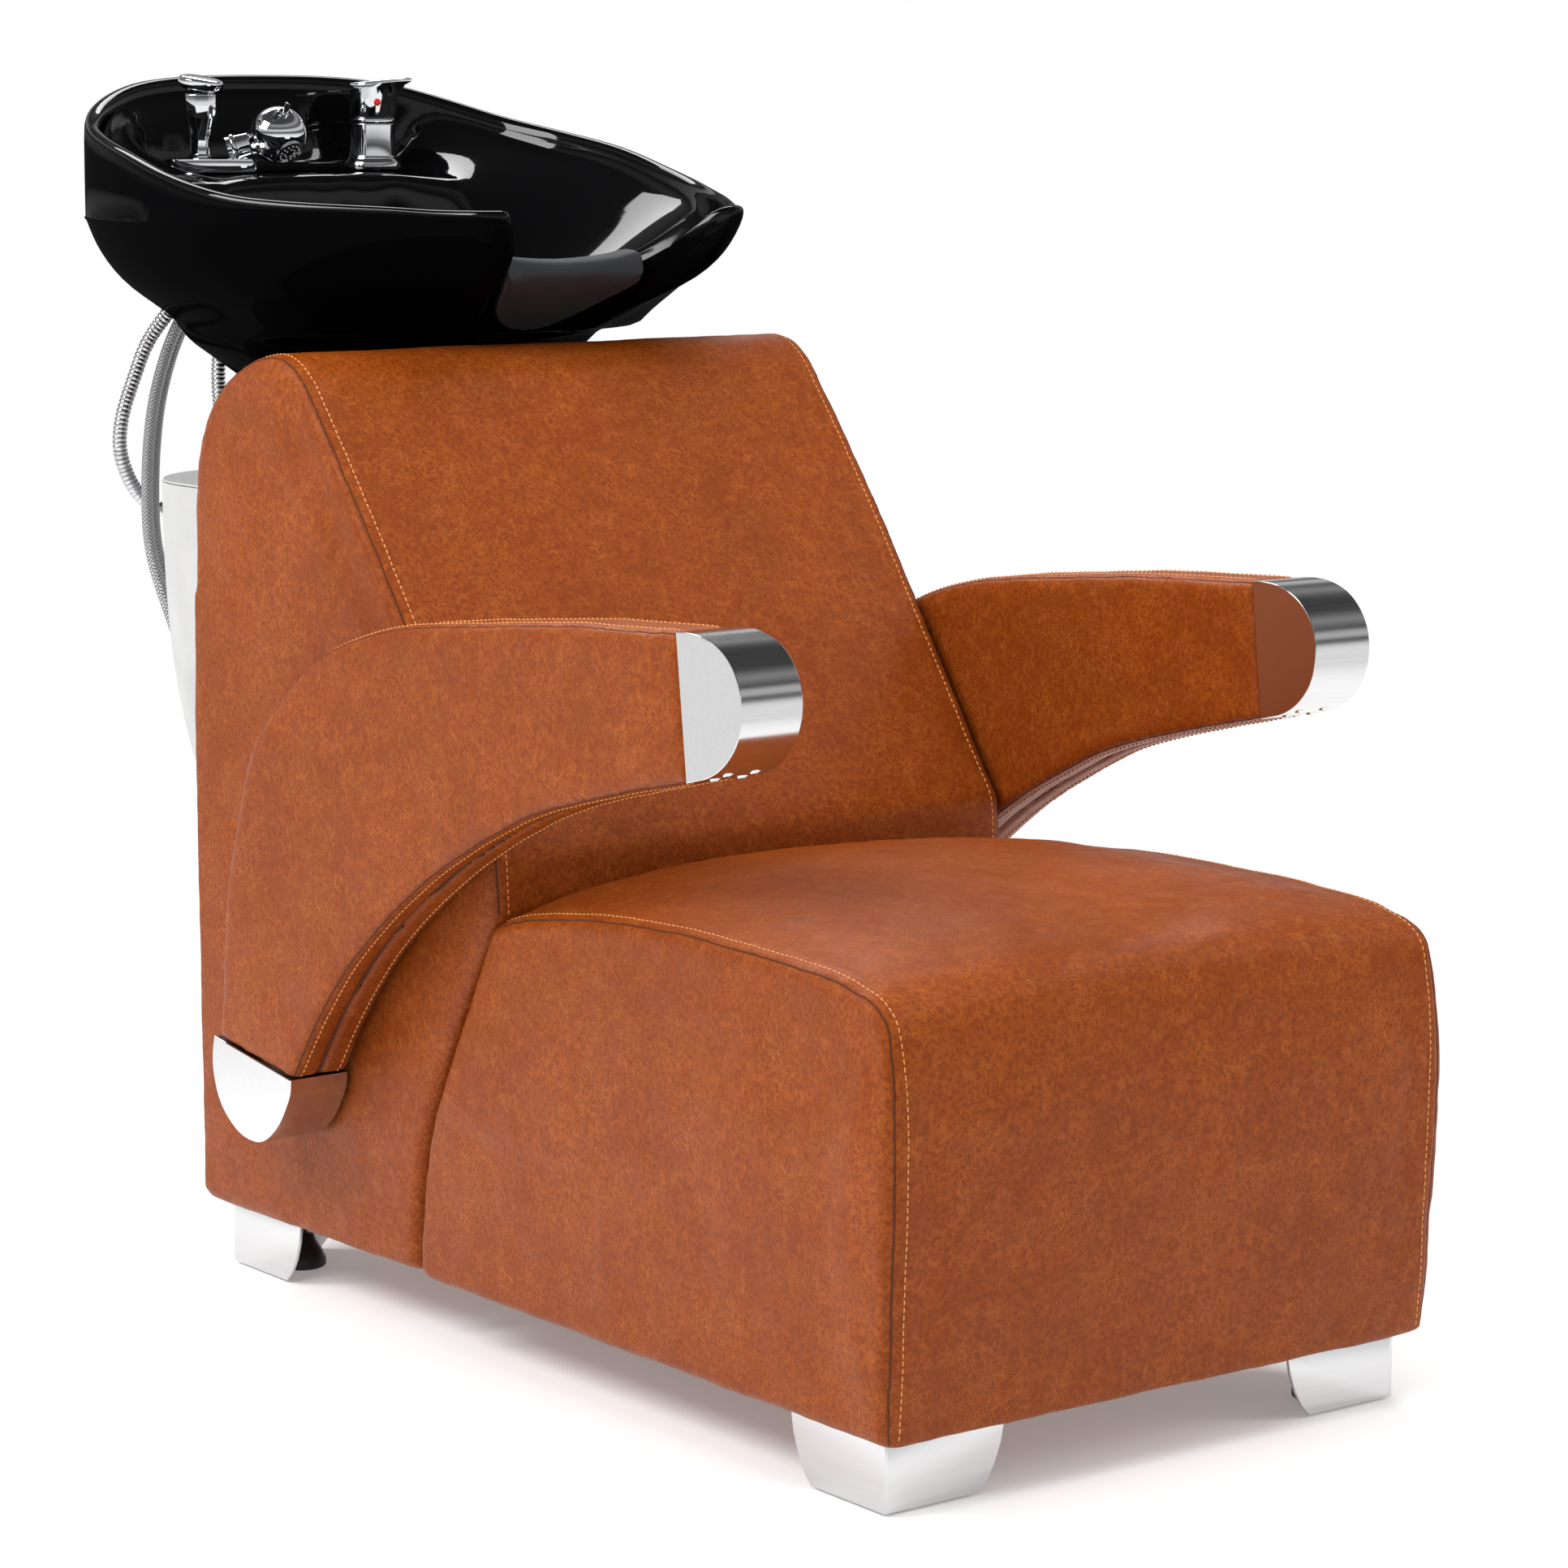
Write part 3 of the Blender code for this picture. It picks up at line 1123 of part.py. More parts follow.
# ------------------------------------------------------------------- hoses
# down from the fitting base, a loop behind the unit, and back up
SPRAY_HOSE = [
    (-0.1200, 0.5720, 0.9050), (-0.1400, 0.5740, 0.8620), (-0.1650, 0.5970, 0.8150),
    (-0.1780, 0.6040, 0.7800), (-0.1910, 0.6080, 0.7380), (-0.1890, 0.6130, 0.7030),
    (-0.1710, 0.6140, 0.6680), (-0.1430, 0.6100, 0.6520), (-0.1130, 0.5920, 0.6640),
    (-0.1020, 0.5780, 0.7150), (-0.1090, 0.5680, 0.7850), (-0.1000, 0.5680, 0.8600),
    (-0.0900, 0.5700, 0.9050),
]
SUPPLY_HOSE = [
    (-0.1020, 0.5840, 0.9050), (-0.1200, 0.5830, 0.8640), (-0.1460, 0.5830, 0.8240),
    (-0.1590, 0.5860, 0.7900), (-0.1690, 0.5880, 0.7500), (-0.1760, 0.5880, 0.6900),
    (-0.1760, 0.5860, 0.6200), (-0.1610, 0.5790, 0.5600), (-0.1440, 0.5680, 0.5000),
    (-0.1290, 0.5480, 0.4400), (-0.1230, 0.5200, 0.3900),
]
COLD_HOSE_OFFSET = (0.0118, 0.0088, 0.0)  # from the hot hose
# step forward of the drain hose from the waste, z
DRAIN_HOSE = [(0.0, 0.6975), (0.0, 0.6600), (0.004, 0.6000), (0.020, 0.5300), (0.045, 0.4600)]


def hose(name, path, radius, segments, material):
    add(name, sweep(spline(path, 3), radius, segments), material)


def hoses():
    hose("spray_hose", SPRAY_HOSE, 0.0068, 12, "braid")
    cold_path = [Vector(point) + Vector(COLD_HOSE_OFFSET) for point in SUPPLY_HOSE]
    hose("supply_hose_hot", SUPPLY_HOSE, 0.0055, 12, "braid")
    hose("supply_hose_cold", cold_path, 0.0055, 12, "braid")
    drain_path = [(DRAIN[0], DRAIN[1] - step, z) for step, z in DRAIN_HOSE]
    hose("drain_hose", drain_path, 0.0185, 16, "pvc")


# ---------------------------------------------------------- plumbing cover
COVER_TOP = 0.6940
COVER_DROP = 0.451
COVER_HALF = 0.247
COVER_DEPTH = 0.182
COVER_CORNER_R = 0.122
COVER_SHEET = 0.0016
COVER_Y = BACK_REAR_Y + 0.0006  # open front edge of the cover
COVER_POWER = 2.6  # exponent of the superellipse that draws the cover in
COVER_LEVELS = [  # share of the drop
    0.0, 0.08, 0.20, 0.34, 0.48, 0.60, 0.71, 0.81, 0.89, 0.945, 0.977, 0.994, 0.9993,
]
SCREW_X, SCREW_Z = 0.150, 0.610
SCREW = [(0.0032, -0.0020), (0.0032, 0.0040), (0.0062, 0.0042), (0.0062, 0.0062), (0.0040, 0.0078)]
RAIL_HALF = 0.185
# angle section of the rail: distance behind the rear panel, z
RAIL = [
    (0.0005, 0.595), (0.0021, 0.595), (0.0021, 0.6235), (0.0200, 0.6235), (0.0200, 0.6251),
    (0.0005, 0.6251),
]


def cover_outline(scale):
    """The U-shaped plan of the cover, from the -X edge round to the +X edge."""
    half, depth, radius = COVER_HALF * scale, COVER_DEPTH * scale, COVER_CORNER_R * scale
    straight = depth - radius
    points = [(-half, COVER_Y), (-half, COVER_Y + straight * 0.5)]
    for k in range(9):
        angle = math.radians(90) * k / 8
        points.append((-half + radius - radius * math.cos(angle),
                       COVER_Y + straight + radius * math.sin(angle)))
    return points + [(-x, y) for x, y in reversed(points)]


def cover_inner_face(rows):
    """The outer face's grid of points moved inwards by the sheet's thickness."""
    last_row, last = len(rows) - 1, len(rows[0]) - 1
    inside = Vector((0, BACK_REAR_Y, COVER_TOP - 0.05))
    inner = []
    for i, row in enumerate(rows):
        line = []
        for j, point in enumerate(row):
            across = row[min(j + 1, last)] - row[max(j - 1, 0)]
            down = rows[min(i + 1, last_row)][j] - rows[max(i - 1, 0)][j]
            normal = across.cross(down).normalized()
            if normal.dot(inside - point) < 0:
                normal = -normal
            moved = point + normal * COVER_SHEET
            if i == 0:
                moved.z = COVER_TOP
            if j in (0, last):
                moved.y = COVER_Y
            line.append(moved)
        inner.append(line)
    return inner


def plumbing_cover():
    """Thin shell on the rear panel, drawn in to a point below."""
    rows = []
    for share in COVER_LEVELS:
        scale = (1 - share**COVER_POWER) ** (1 / COVER_POWER)
        z = COVER_TOP - COVER_DROP * share
        rows.append([Vector((x, y, z)) for x, y in cover_outline(scale)])
    shape = bmesh.new()
    outer, inner = (
        [[shape.verts.new(point) for point in row] for row in grid]
        for grid in (rows, cover_inner_face(rows))
    )
    last_row, last = len(rows) - 1, len(rows[0]) - 1
    for i in range(last_row):
        for j in range(last):
            for grid in (outer, inner):
                shape.faces.new((grid[i][j], grid[i][j + 1], grid[i + 1][j + 1], grid[i + 1][j]))
    for i in range(last_row):
        for j in (0, last):
            shape.faces.new((outer[i][j], outer[i + 1][j], inner[i + 1][j], inner[i][j]))
    for j in range(last):
        for i in (0, last_row):
            shape.faces.new((outer[i][j], inner[i][j], inner[i][j + 1], outer[i][j + 1]))
    add("plumbing_cover", shape, "stainless")


def cover_lid():
    """Flat lid on the cover, open round the waste."""
    outline = cover_outline(0.998)
    rings = [
        [(x, y, COVER_TOP + height) for x, y in inset_outline(outline, inset)]
        for height, inset in ((0.0006, 0.0), (0.0020, 0.0), (0.0026, 0.0006))
    ]
    lid = add("cover_lid", loft(rings), "stainless", smooth=False)
    cut(lid, "cut_lid", box((-0.040, DRAIN[1] - 0.062, COVER_TOP - 0.01),
                            (0.040, DRAIN[1] + 0.036, COVER_TOP + 0.02)))


def cover_rail():
    """Angle that the cover hangs on, and the two screws through it."""
    outline = [(BACK_REAR_Y + step, z) for step, z in RAIL]
    rail = add("cover_rail", slab_x(outline, -RAIL_HALF, RAIL_HALF), "frame_steel", smooth=False)
    for k, (side, side_x) in enumerate(SIDES):
        x = side_x * SCREW_X
        screw = lathe(SCREW, 16, (x, BACK_REAR_Y + 0.0024, SCREW_Z), ALONG_Y)
        add(f"cover_screw_{side}", screw, "stainless")
        cut(rail, f"cut_rail_{k}",
            cylinder(0.0036, -0.01, 0.01, 16, (x, BACK_REAR_Y, SCREW_Z), ALONG_Y))


# ---------------------------------------------------------------- assembly
seat_cushion()
back_cushion()
back_panel()
carcase("seat_frame", SEAT_HOLLOW)
carcase("back_frame", BACK_HOLLOW)
base_frame()
for corner_station in CORNERS:
    foot(*corner_station)
for side_station in SIDES:
    armrest(*side_station)
bowl()
waste_set()
tilt_plate()
bowl_bracket()
hinge_pin_and_lever()
neck_rest()
mixer()
fitting_base()
vacuum_breaker()
hand_spray()
hoses()
plumbing_cover()
cover_lid()
cover_rail()

# put the origin midway between the seat's front and the basin's back
for scene_part in bpy.context.scene.objects:
    scene_part.location.y += LAYOUT_SHIFT_Y
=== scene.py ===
"""Shampoo backwash unit: a leather seat and back with armrests, and a black basin on the back.

Metres, +Z up, floor at z = 0. The unit faces -Y: the seat is in front, the basin and its plumbing
behind. X runs across, "left" is -X. The design frame of the tables below is moved by
ROW_SHIFT_Y along Y to reach the frame of the CAD pieces.
"""

import json
import math

import bmesh
import bpy
import numpy as np
from mathutils import Matrix, Vector, noise
from mathutils.bvhtree import BVHTree
from mathutils.kdtree import KDTree

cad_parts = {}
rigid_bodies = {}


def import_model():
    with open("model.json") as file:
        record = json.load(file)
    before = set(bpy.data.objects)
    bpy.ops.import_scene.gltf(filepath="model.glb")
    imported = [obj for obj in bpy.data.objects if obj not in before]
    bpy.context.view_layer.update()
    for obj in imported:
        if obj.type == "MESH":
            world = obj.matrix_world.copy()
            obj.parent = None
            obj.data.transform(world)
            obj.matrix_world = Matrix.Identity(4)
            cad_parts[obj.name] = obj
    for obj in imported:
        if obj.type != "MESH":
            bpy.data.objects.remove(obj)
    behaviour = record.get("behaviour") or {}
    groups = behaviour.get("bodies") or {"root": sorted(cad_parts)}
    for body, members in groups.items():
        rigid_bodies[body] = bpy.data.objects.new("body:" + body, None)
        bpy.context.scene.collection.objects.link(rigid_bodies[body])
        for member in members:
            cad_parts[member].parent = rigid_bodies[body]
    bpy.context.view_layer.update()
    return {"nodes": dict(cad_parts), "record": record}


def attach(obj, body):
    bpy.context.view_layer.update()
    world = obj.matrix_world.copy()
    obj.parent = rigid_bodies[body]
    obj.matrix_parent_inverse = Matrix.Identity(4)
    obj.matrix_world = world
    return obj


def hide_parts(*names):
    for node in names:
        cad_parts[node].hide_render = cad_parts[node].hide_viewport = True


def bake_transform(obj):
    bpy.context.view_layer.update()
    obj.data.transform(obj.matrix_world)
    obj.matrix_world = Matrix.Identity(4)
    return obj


for stale in list(bpy.data.objects):
    bpy.data.objects.remove(stale)
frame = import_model()
NODES = frame["nodes"]
RECORD = frame["record"]
BODY = {n: b for b, names in RECORD["behaviour"]["bodies"].items() for n in names}
SLOT = {s["node"]: s["material_slot"] for s in RECORD["subparts"]}

ROW_SHIFT_Y = -0.0075
SHIFT = Vector((0.0, ROW_SHIFT_Y, 0.0))
TO_ROW = Matrix.Translation(SHIFT)
SIDES = (("left", -1.0), ("right", 1.0))  # tag, sign of X


# ------------------------------------------------------------------ materials
class Shader:
    """Short-hand for building the node tree of a material or a world."""

    def __init__(self, owner):
        self.owner = owner
        owner.use_nodes = True
        self.tree = owner.node_tree
        self.nodes = self.tree.nodes

    def connect(self, value, socket):
        """Links a socket, or sets a plain value; a colour gets its alpha."""
        if isinstance(value, bpy.types.NodeSocket):
            self.tree.links.new(value, socket)
            return
        if socket.type == "RGBA" and len(value) == 3:
            value = (*value, 1.0)
        socket.default_value = value

    def node(self, kind, output=0, settings=None, **inputs):
        """A node; inputs are socket names with _ for a space. Returns one output."""
        node = self.nodes.new(kind)
        for key, value in (settings or {}).items():
            setattr(node, key, value)
        for key, value in inputs.items():
            self.connect(value, node.inputs[key.replace("_", " ")])
        return node.outputs[output]

    def coords(self, scale=(1, 1, 1)):
        at = self.node("ShaderNodeTexCoord", "Object")
        return self.node("ShaderNodeMapping", Vector=at, Scale=scale)

    def noise(self, at, scale, detail=3.0, rough=0.55, distort=0.0):
        return self.node("ShaderNodeTexNoise", Vector=at, Scale=scale, Detail=detail,
                         Roughness=rough, Distortion=distort)

    def voronoi(self, at, scale, feature="DISTANCE_TO_EDGE"):
        return self.node("ShaderNodeTexVoronoi", settings={"feature": feature},
                         Vector=at, Scale=scale)

    def ramp(self, factor, *stops, blue=1.0):
        """A grey ramp through (position, value) stops; blue scales the blue channel."""
        node = self.nodes.new("ShaderNodeValToRGB")
        self.connect(factor, node.inputs["Fac"])
        elements = node.color_ramp.elements
        for i, (position, value) in enumerate(stops):
            element = elements[i] if i < 2 else elements.new(position)
            element.position = position
            element.color = (value, value, value * blue, 1.0)
        return node.outputs["Color"]

    def mix(self, factor, first, second):
        node = self.nodes.new("ShaderNodeMix")
        node.data_type = "RGBA"
        self.connect(factor, node.inputs["Factor"])
        self.connect(first, node.inputs[6])
        self.connect(second, node.inputs[7])
        return node.outputs[2]

    def math(self, operation, first, second=0.0, third=None, clamp=False):
        node = self.nodes.new("ShaderNodeMath")
        node.operation = operation
        node.use_clamp = clamp
        self.connect(first, node.inputs[0])
        self.connect(second, node.inputs[1])
        if third is not None:
            self.connect(third, node.inputs[2])
        return node.outputs[0]

    def bump(self, height, strength, distance, normal=None):
        inputs = {"Strength": strength, "Distance": distance, "Height": height}
        if normal is not None:
            inputs["Normal"] = normal
        return self.node("ShaderNodeBump", **inputs)

    def principled(self, **inputs):
        bsdf = self.nodes["Principled BSDF"]
        for key, value in inputs.items():
            self.connect(value, bsdf.inputs[key.replace("_", " ")])
        return self.owner

    def blend_surface(self, factor, second):
        """Puts a mix of the principled shader and a second one on the surface."""
        node = self.nodes.new("ShaderNodeMixShader")
        self.connect(factor, node.inputs[0])
        self.connect(self.nodes["Principled BSDF"].outputs[0], node.inputs[1])
        self.connect(second, node.inputs[2])
        self.connect(node.outputs[0], self.nodes["Material Output"].inputs["Surface"])
        return self.owner


def new_shader(name):
    return Shader(bpy.data.materials.new(name))


def leather(name, mid, dark, light, seed=0.0):
    """Creased, mottled leather; seed moves the pattern."""
    net = new_shader(name)
    at = net.node("ShaderNodeVectorMath", settings={"operation": "ADD"}, Vector=net.coords())
    at.node.inputs[1].default_value = (seed, seed * 0.7, -seed)
    broad = net.noise(at, scale=7.0, detail=4.0, rough=0.6)
    fine = net.noise(at, scale=70.0, detail=6.0, rough=0.65)
    warp = net.node("ShaderNodeTexNoise", "Color", Vector=at, Scale=14.0, Detail=3.0)
    bent = net.mix(0.06, at, warp)
    # broad and small creases, each only in patches
    line = net.ramp(net.voronoi(bent, scale=85.0), (0.0, 1.0), (0.045, 0.0))
    where = net.ramp(net.noise(at, scale=9.0, rough=0.6), (0.50, 0.0), (0.66, 1.0))
    line = net.math("MULTIPLY", line, where)
    small = net.voronoi(bent, scale=230.0)
    small = net.math("MULTIPLY", net.ramp(small, (0.0, 1.0), (0.06, 0.0)),
                     net.ramp(net.noise(at, scale=16.0), (0.45, 0.0), (0.62, 1.0)))
    # colour: mottling, pale flecks, dark specks, then the worn creases
    base = net.mix(net.ramp(broad, (0.25, 0.30), (0.70, 1.0)), dark, mid)
    base = net.mix(net.math("MULTIPLY", net.ramp(fine, (0.46, 0.0), (0.72, 1.0)), 0.34),
                   base, light)
    specks = net.noise(at, scale=240.0, detail=4.0, rough=0.6)
    base = net.mix(net.math("MULTIPLY", net.ramp(specks, (0.38, 1.0), (0.60, 0.0)), 0.85),
                   base, dark)
    base = net.mix(net.math("MULTIPLY", line, 0.26), base, light)
    base = net.mix(net.math("MULTIPLY", small, 0.42), base, light)
    # relief, from the grain up to the creases
    grain = net.voronoi(at, scale=950.0, feature="F1")
    pores = net.noise(at, scale=1900.0, detail=2.0)
    height = net.math("ADD", net.math("MULTIPLY", grain, 0.6), net.math("MULTIPLY", pores, 0.4))
    normal = net.bump(height, strength=0.42, distance=0.0005)
    normal = net.bump(net.noise(at, scale=95.0, detail=4.0, rough=0.6),
                      strength=0.20, distance=0.0012, normal=normal)
    normal = net.bump(net.noise(at, scale=330.0, detail=6.0, rough=0.7, distort=0.6),
                      strength=0.45, distance=0.0008, normal=normal)
    normal = net.bump(net.math("ADD", line, small),
                      strength=0.25, distance=-0.0005, normal=normal)
    rough = net.ramp(net.noise(at, scale=26.0, detail=4.0), (0.3, 0.33), (0.75, 0.47))
    return net.principled(Base_Color=base, Roughness=rough, Normal=normal,
                          Specular_IOR_Level=0.145, Coat_Weight=0.03, Coat_Roughness=0.25)


def brushed(name, colour, stretch, rough=(0.20, 0.34), strength=0.12):
    """Metal with streaks; stretch is the noise frequency along X, Y and Z."""
    net = new_shader(name)
    streak = net.noise(net.coords(stretch), scale=1.0, detail=4.0, rough=0.6)
    smear = net.noise(net.coords(), scale=6.0)
    base = net.mix(net.ramp(streak, (0.25, 0.0), (0.75, 1.0)),
                   tuple(c * 0.93 for c in colour), colour)
    gloss = net.math("ADD", net.ramp(streak, (0.2, rough[0]), (0.8, rough[1])),
                     net.math("MULTIPLY", smear, 0.04))
    return net.principled(Base_Color=base, Metallic=1.0, Roughness=gloss,
                          Normal=net.bump(streak, strength=strength, distance=0.0003))


def chrome(name):
    net = new_shader(name)
    smear = net.noise(net.coords(), scale=38.0, detail=4.0)
    base = net.mix(smear, (0.80, 0.81, 0.83), (0.90, 0.90, 0.91))
    rough = net.ramp(smear, (0.3, 0.035), (0.8, 0.075))
    waves = net.noise(net.coords(), scale=60.0, detail=2.0)
    return net.principled(Base_Color=base, Metallic=1.0, Roughness=rough,
                          Normal=net.bump(waves, strength=0.04, distance=0.0002))


def ceramic(name):
    """Black glaze: a dark body under a clear coat that mirrors the lamps more than the floor."""
    net = new_shader(name)
    at = net.coords()
    normal = net.bump(net.noise(at, scale=16.0, detail=2.0), strength=0.04, distance=0.0008)
    base = net.mix(net.noise(at, scale=9.0), (0.0011, 0.0011, 0.0013), (0.0020, 0.0020, 0.0024))
    net.principled(Base_Color=base, Roughness=0.5, Normal=normal, Specular_IOR_Level=0.0)
    mirrored = net.node("ShaderNodeTexCoord", "Reflection")
    upward = net.node("ShaderNodeSeparateXYZ", "Z", Vector=mirrored)
    upward = net.math("ADD", net.math("MULTIPLY", upward, 0.5), 0.5)
    shine = net.ramp(upward, (0.0, 0.010), (0.50, 0.022), (0.61, 0.62), (1.0, 0.72))
    rough = net.ramp(net.noise(at, scale=45.0), (0.3, 0.030), (0.8, 0.065))
    gloss = net.node("ShaderNodeBsdfGlossy", Color=shine, Roughness=rough, Normal=normal)
    fresnel = net.node("ShaderNodeFresnel", IOR=1.55, Normal=normal)
    return net.blend_surface(fresnel, gloss)


def moulded(name, colour, rough, grain=900.0, strength=0.25, specular=0.4):
    """Plain or painted stuff with a fine grain."""
    net = new_shader(name)
    at = net.coords()
    base = net.mix(net.noise(at, scale=18.0, detail=4.0), tuple(c * 0.82 for c in colour),
                   tuple(min(1.0, c * 1.15) for c in colour))
    normal = net.bump(net.noise(at, scale=grain), strength=strength, distance=0.0003)
    rough = net.ramp(net.noise(at, scale=40.0), (0.3, rough - 0.05), (0.8, rough + 0.06))
    return net.principled(Base_Color=base, Roughness=rough, Normal=normal,
                          Specular_IOR_Level=specular)


def wood(name):
    net = new_shader(name)
    layers = net.noise(net.coords((6.0, 6.0, 60.0)), scale=3.0, detail=5.0, rough=0.6,
                       distort=0.5)
    base = net.mix(net.ramp(layers, (0.3, 0.0), (0.7, 1.0)), (0.33, 0.20, 0.09),
                   (0.58, 0.40, 0.22))
    return net.principled(Base_Color=base, Roughness=0.7,
                          Normal=net.bump(layers, strength=0.3, distance=0.0005))


def braided(name, colour, dark):
    """Crossed strands, laid out on the hose's own length and turn, coloured with painted shade at
    the strand edges and a painted highlight on their crowns.
    """
    net = new_shader(name)
    length = net.node("ShaderNodeSeparateXYZ", "X", Vector=net.node("ShaderNodeUVMap"))
    turn = length.node.outputs["Y"]
    along = net.math("MULTIPLY", length, 560.0)  # strands to a metre
    around = net.math("MULTIPLY", turn, 8.0)  # strands to a turn

    def strands(operation):
        phase = net.math("MULTIPLY", net.math(operation, along, around), math.pi)
        return net.math("ABSOLUTE", net.math("SINE", phase))

    first, second = strands("ADD"), strands("SUBTRACT")
    over = net.math("GREATER_THAN", net.math("SINE", net.math("MULTIPLY", along, math.pi)), 0.0)
    weave = net.mix(over, first, second)
    # painted highlight: the strands are lighter at their crowns, and painted shade darkens where
    # both dip
    lit = net.math("MULTIPLY", net.math("MAXIMUM", first, second), 0.65)
    weave = net.math("MULTIPLY", weave, net.math("ADD", 0.35, lit))
    # painted shade: the strand edges and the gaps between strands go to the dark colour
    base = net.mix(net.ramp(weave, (0.1, 0.0), (0.7, 1.0)), dark, colour)
    return net.principled(Base_Color=base, Metallic=0.9, Roughness=0.34,
                          Normal=net.bump(weave, strength=0.9, distance=0.0009))


def floor_white(name):
    """White floor that turns into pure glow away from the unit."""
    net = new_shader(name)
    place = net.node("ShaderNodeNewGeometry", "Position")
    distance = net.node("ShaderNodeVectorMath", "Value", {"operation": "LENGTH"}, Vector=place)
    fade = net.math("DIVIDE", net.math("SUBTRACT", distance, 0.95), 0.9, clamp=True)
    base = net.mix(net.noise(net.coords(), scale=3.0), (0.86, 0.86, 0.86), (0.88, 0.88, 0.88))
    net.principled(Base_Color=base, Roughness=0.6, Specular_IOR_Level=0.10,
                   Emission_Color=(1.0, 1.0, 1.0), Emission_Strength=0.22)
    glow = net.node("ShaderNodeEmission", Color=(1.0, 1.0, 1.0), Strength=1.0)
    return net.blend_surface(fade, glow)


MATS = {
    "leather": leather("leather_seat", mid=(0.283, 0.0575, 0.0052),
                       dark=(0.180, 0.0320, 0.0030), light=(0.52, 0.150, 0.024)),
    "plywood": wood("plywood"),
    "frame_steel": moulded("frame_steel", (0.035, 0.035, 0.038), rough=0.38, grain=500.0,
                           strength=0.12),
    "stainless": brushed("stainless", (0.66, 0.66, 0.665), stretch=(6.0, 6.0, 160.0),
                         rough=(0.10, 0.16), strength=0.02),
    "stainless_arm": brushed("stainless_arm", (0.70, 0.70, 0.70), stretch=(10.0, 420.0, 420.0),
                             rough=(0.10, 0.17), strength=0.02),
    "cover_metal": moulded("cover_metal", (0.50, 0.50, 0.495), rough=0.34, grain=500.0,
                           strength=0.04),
    "chrome": chrome("chrome"),
    "ceramic": ceramic("ceramic"),
    "neck_rubber": moulded("neck_rubber", (0.0225, 0.0235, 0.0270), rough=0.60, grain=1400.0,
                           strength=0.18, specular=0.30),
    "black_plastic": moulded("black_plastic", (0.012, 0.012, 0.013), rough=0.42),
    "black_rubber": moulded("black_rubber", (0.010, 0.010, 0.010), rough=0.7),
    "braid": braided("braid", (0.62, 0.62, 0.63), dark=(0.06, 0.06, 0.065)),
    "interlock": brushed("interlock", (0.60, 0.60, 0.61), stretch=(30.0, 30.0, 900.0),
                         rough=(0.16, 0.28), strength=0.10),
    "pvc": moulded("pvc", (0.36, 0.36, 0.37), rough=0.5),
    "brass": brushed("brass", (0.60, 0.45, 0.18), stretch=(40.0, 40.0, 900.0)),
    "mark_red": moulded("mark_red", (0.55, 0.015, 0.015), rough=0.3, grain=300.0, strength=0.05),
    "mark_blue": moulded("mark_blue", (0.02, 0.05, 0.45), rough=0.3, grain=300.0, strength=0.05),
    "thread": moulded("thread", (0.72, 0.30, 0.095), rough=0.6, grain=2500.0, strength=0.3),
    "seam_dark": moulded("seam_dark", (0.085, 0.022, 0.006), rough=0.8, grain=1500.0,
                         strength=0.3),
    "nozzle": moulded("nozzle", (0.70, 0.70, 0.70), rough=0.45),
}
# nodes whose finish differs from their material slot
FINISH = {"plumbing_cover": "cover_metal", "cover_lid": "cover_metal"}


# --------------------------------------------------------------- curves and tables
def circle(count):
    """(cos, sin) at even steps of one turn."""
    return [(math.cos(2 * math.pi * k / count), math.sin(2 * math.pi * k / count))
            for k in range(count)]


def spline(points, steps, ends=None):
    """Catmull-Rom curve; steps to each span, and ends are the points beyond the two ends."""
    points = [Vector(p) for p in points]
    if isinstance(steps, int):
        steps = [steps] * (len(points) - 1)
    before, after = ends or (points[0] * 2 - points[1], points[-1] * 2 - points[-2])
    chain = [before, *points, after]
    out = []
    for p0, p1, p2, p3, count in zip(chain, chain[1:], chain[2:], chain[3:], steps):
        for k in range(count):
            t = k / count
            out.append(0.5 * (2 * p1 + (p2 - p0) * t + (2 * p0 - 5 * p1 + 4 * p2 - p3) * t**2
                              + (3 * p1 - p0 - 3 * p2 + p3) * t**3))
    out.append(points[-1].copy())
    return out


def table(x, pairs):
    """Linear interpolation in a list of (x, y)."""
    if x <= pairs[0][0]:
        return pairs[0][1]
    for (x0, y0), (x1, y1) in zip(pairs, pairs[1:]):
        if x <= x1:
            return y0 + (y1 - y0) * (x - x0) / (x1 - x0)
    return pairs[-1][1]


def smooth_table(x, pairs):
    """Monotone cubic interpolation in a list of (x, y)."""
    if x <= pairs[0][0]:
        return pairs[0][1]
    if x >= pairs[-1][0]:
        return pairs[-1][1]
    widths = [b[0] - a[0] for a, b in zip(pairs, pairs[1:])]
    slopes = [(b[1] - a[1]) / width for a, b, width in zip(pairs, pairs[1:], widths)]
    tangents = [slopes[0]] + [0.0 if a * b <= 0 else 2 * a * b / (a + b)
                              for a, b in zip(slopes, slopes[1:])] + [slopes[-1]]
    i = next(k for k in range(len(widths)) if x <= pairs[k + 1][0])
    width = widths[i]
    t = (x - pairs[i][0]) / width
    return (pairs[i][1] * (1 + 2 * t) * (1 - t) ** 2
            + width * tangents[i] * t * (1 - t) ** 2
            + pairs[i + 1][1] * t * t * (3 - 2 * t)
            + width * tangents[i + 1] * t * t * (t - 1))


def rise(value, above, over):
    """Eases from 0 to 1 as the value goes above a level, over a width."""
    t = np.clip((value - above) / over, 0.0, 1.0)
    return t * t * (3 - 2 * t)


def fall(value, below, over):
    """Eases from 0 to 1 as the value goes below a level, over a width."""
    t = np.clip((below - value) / over, 0.0, 1.0)
    return t * t * (3 - 2 * t)


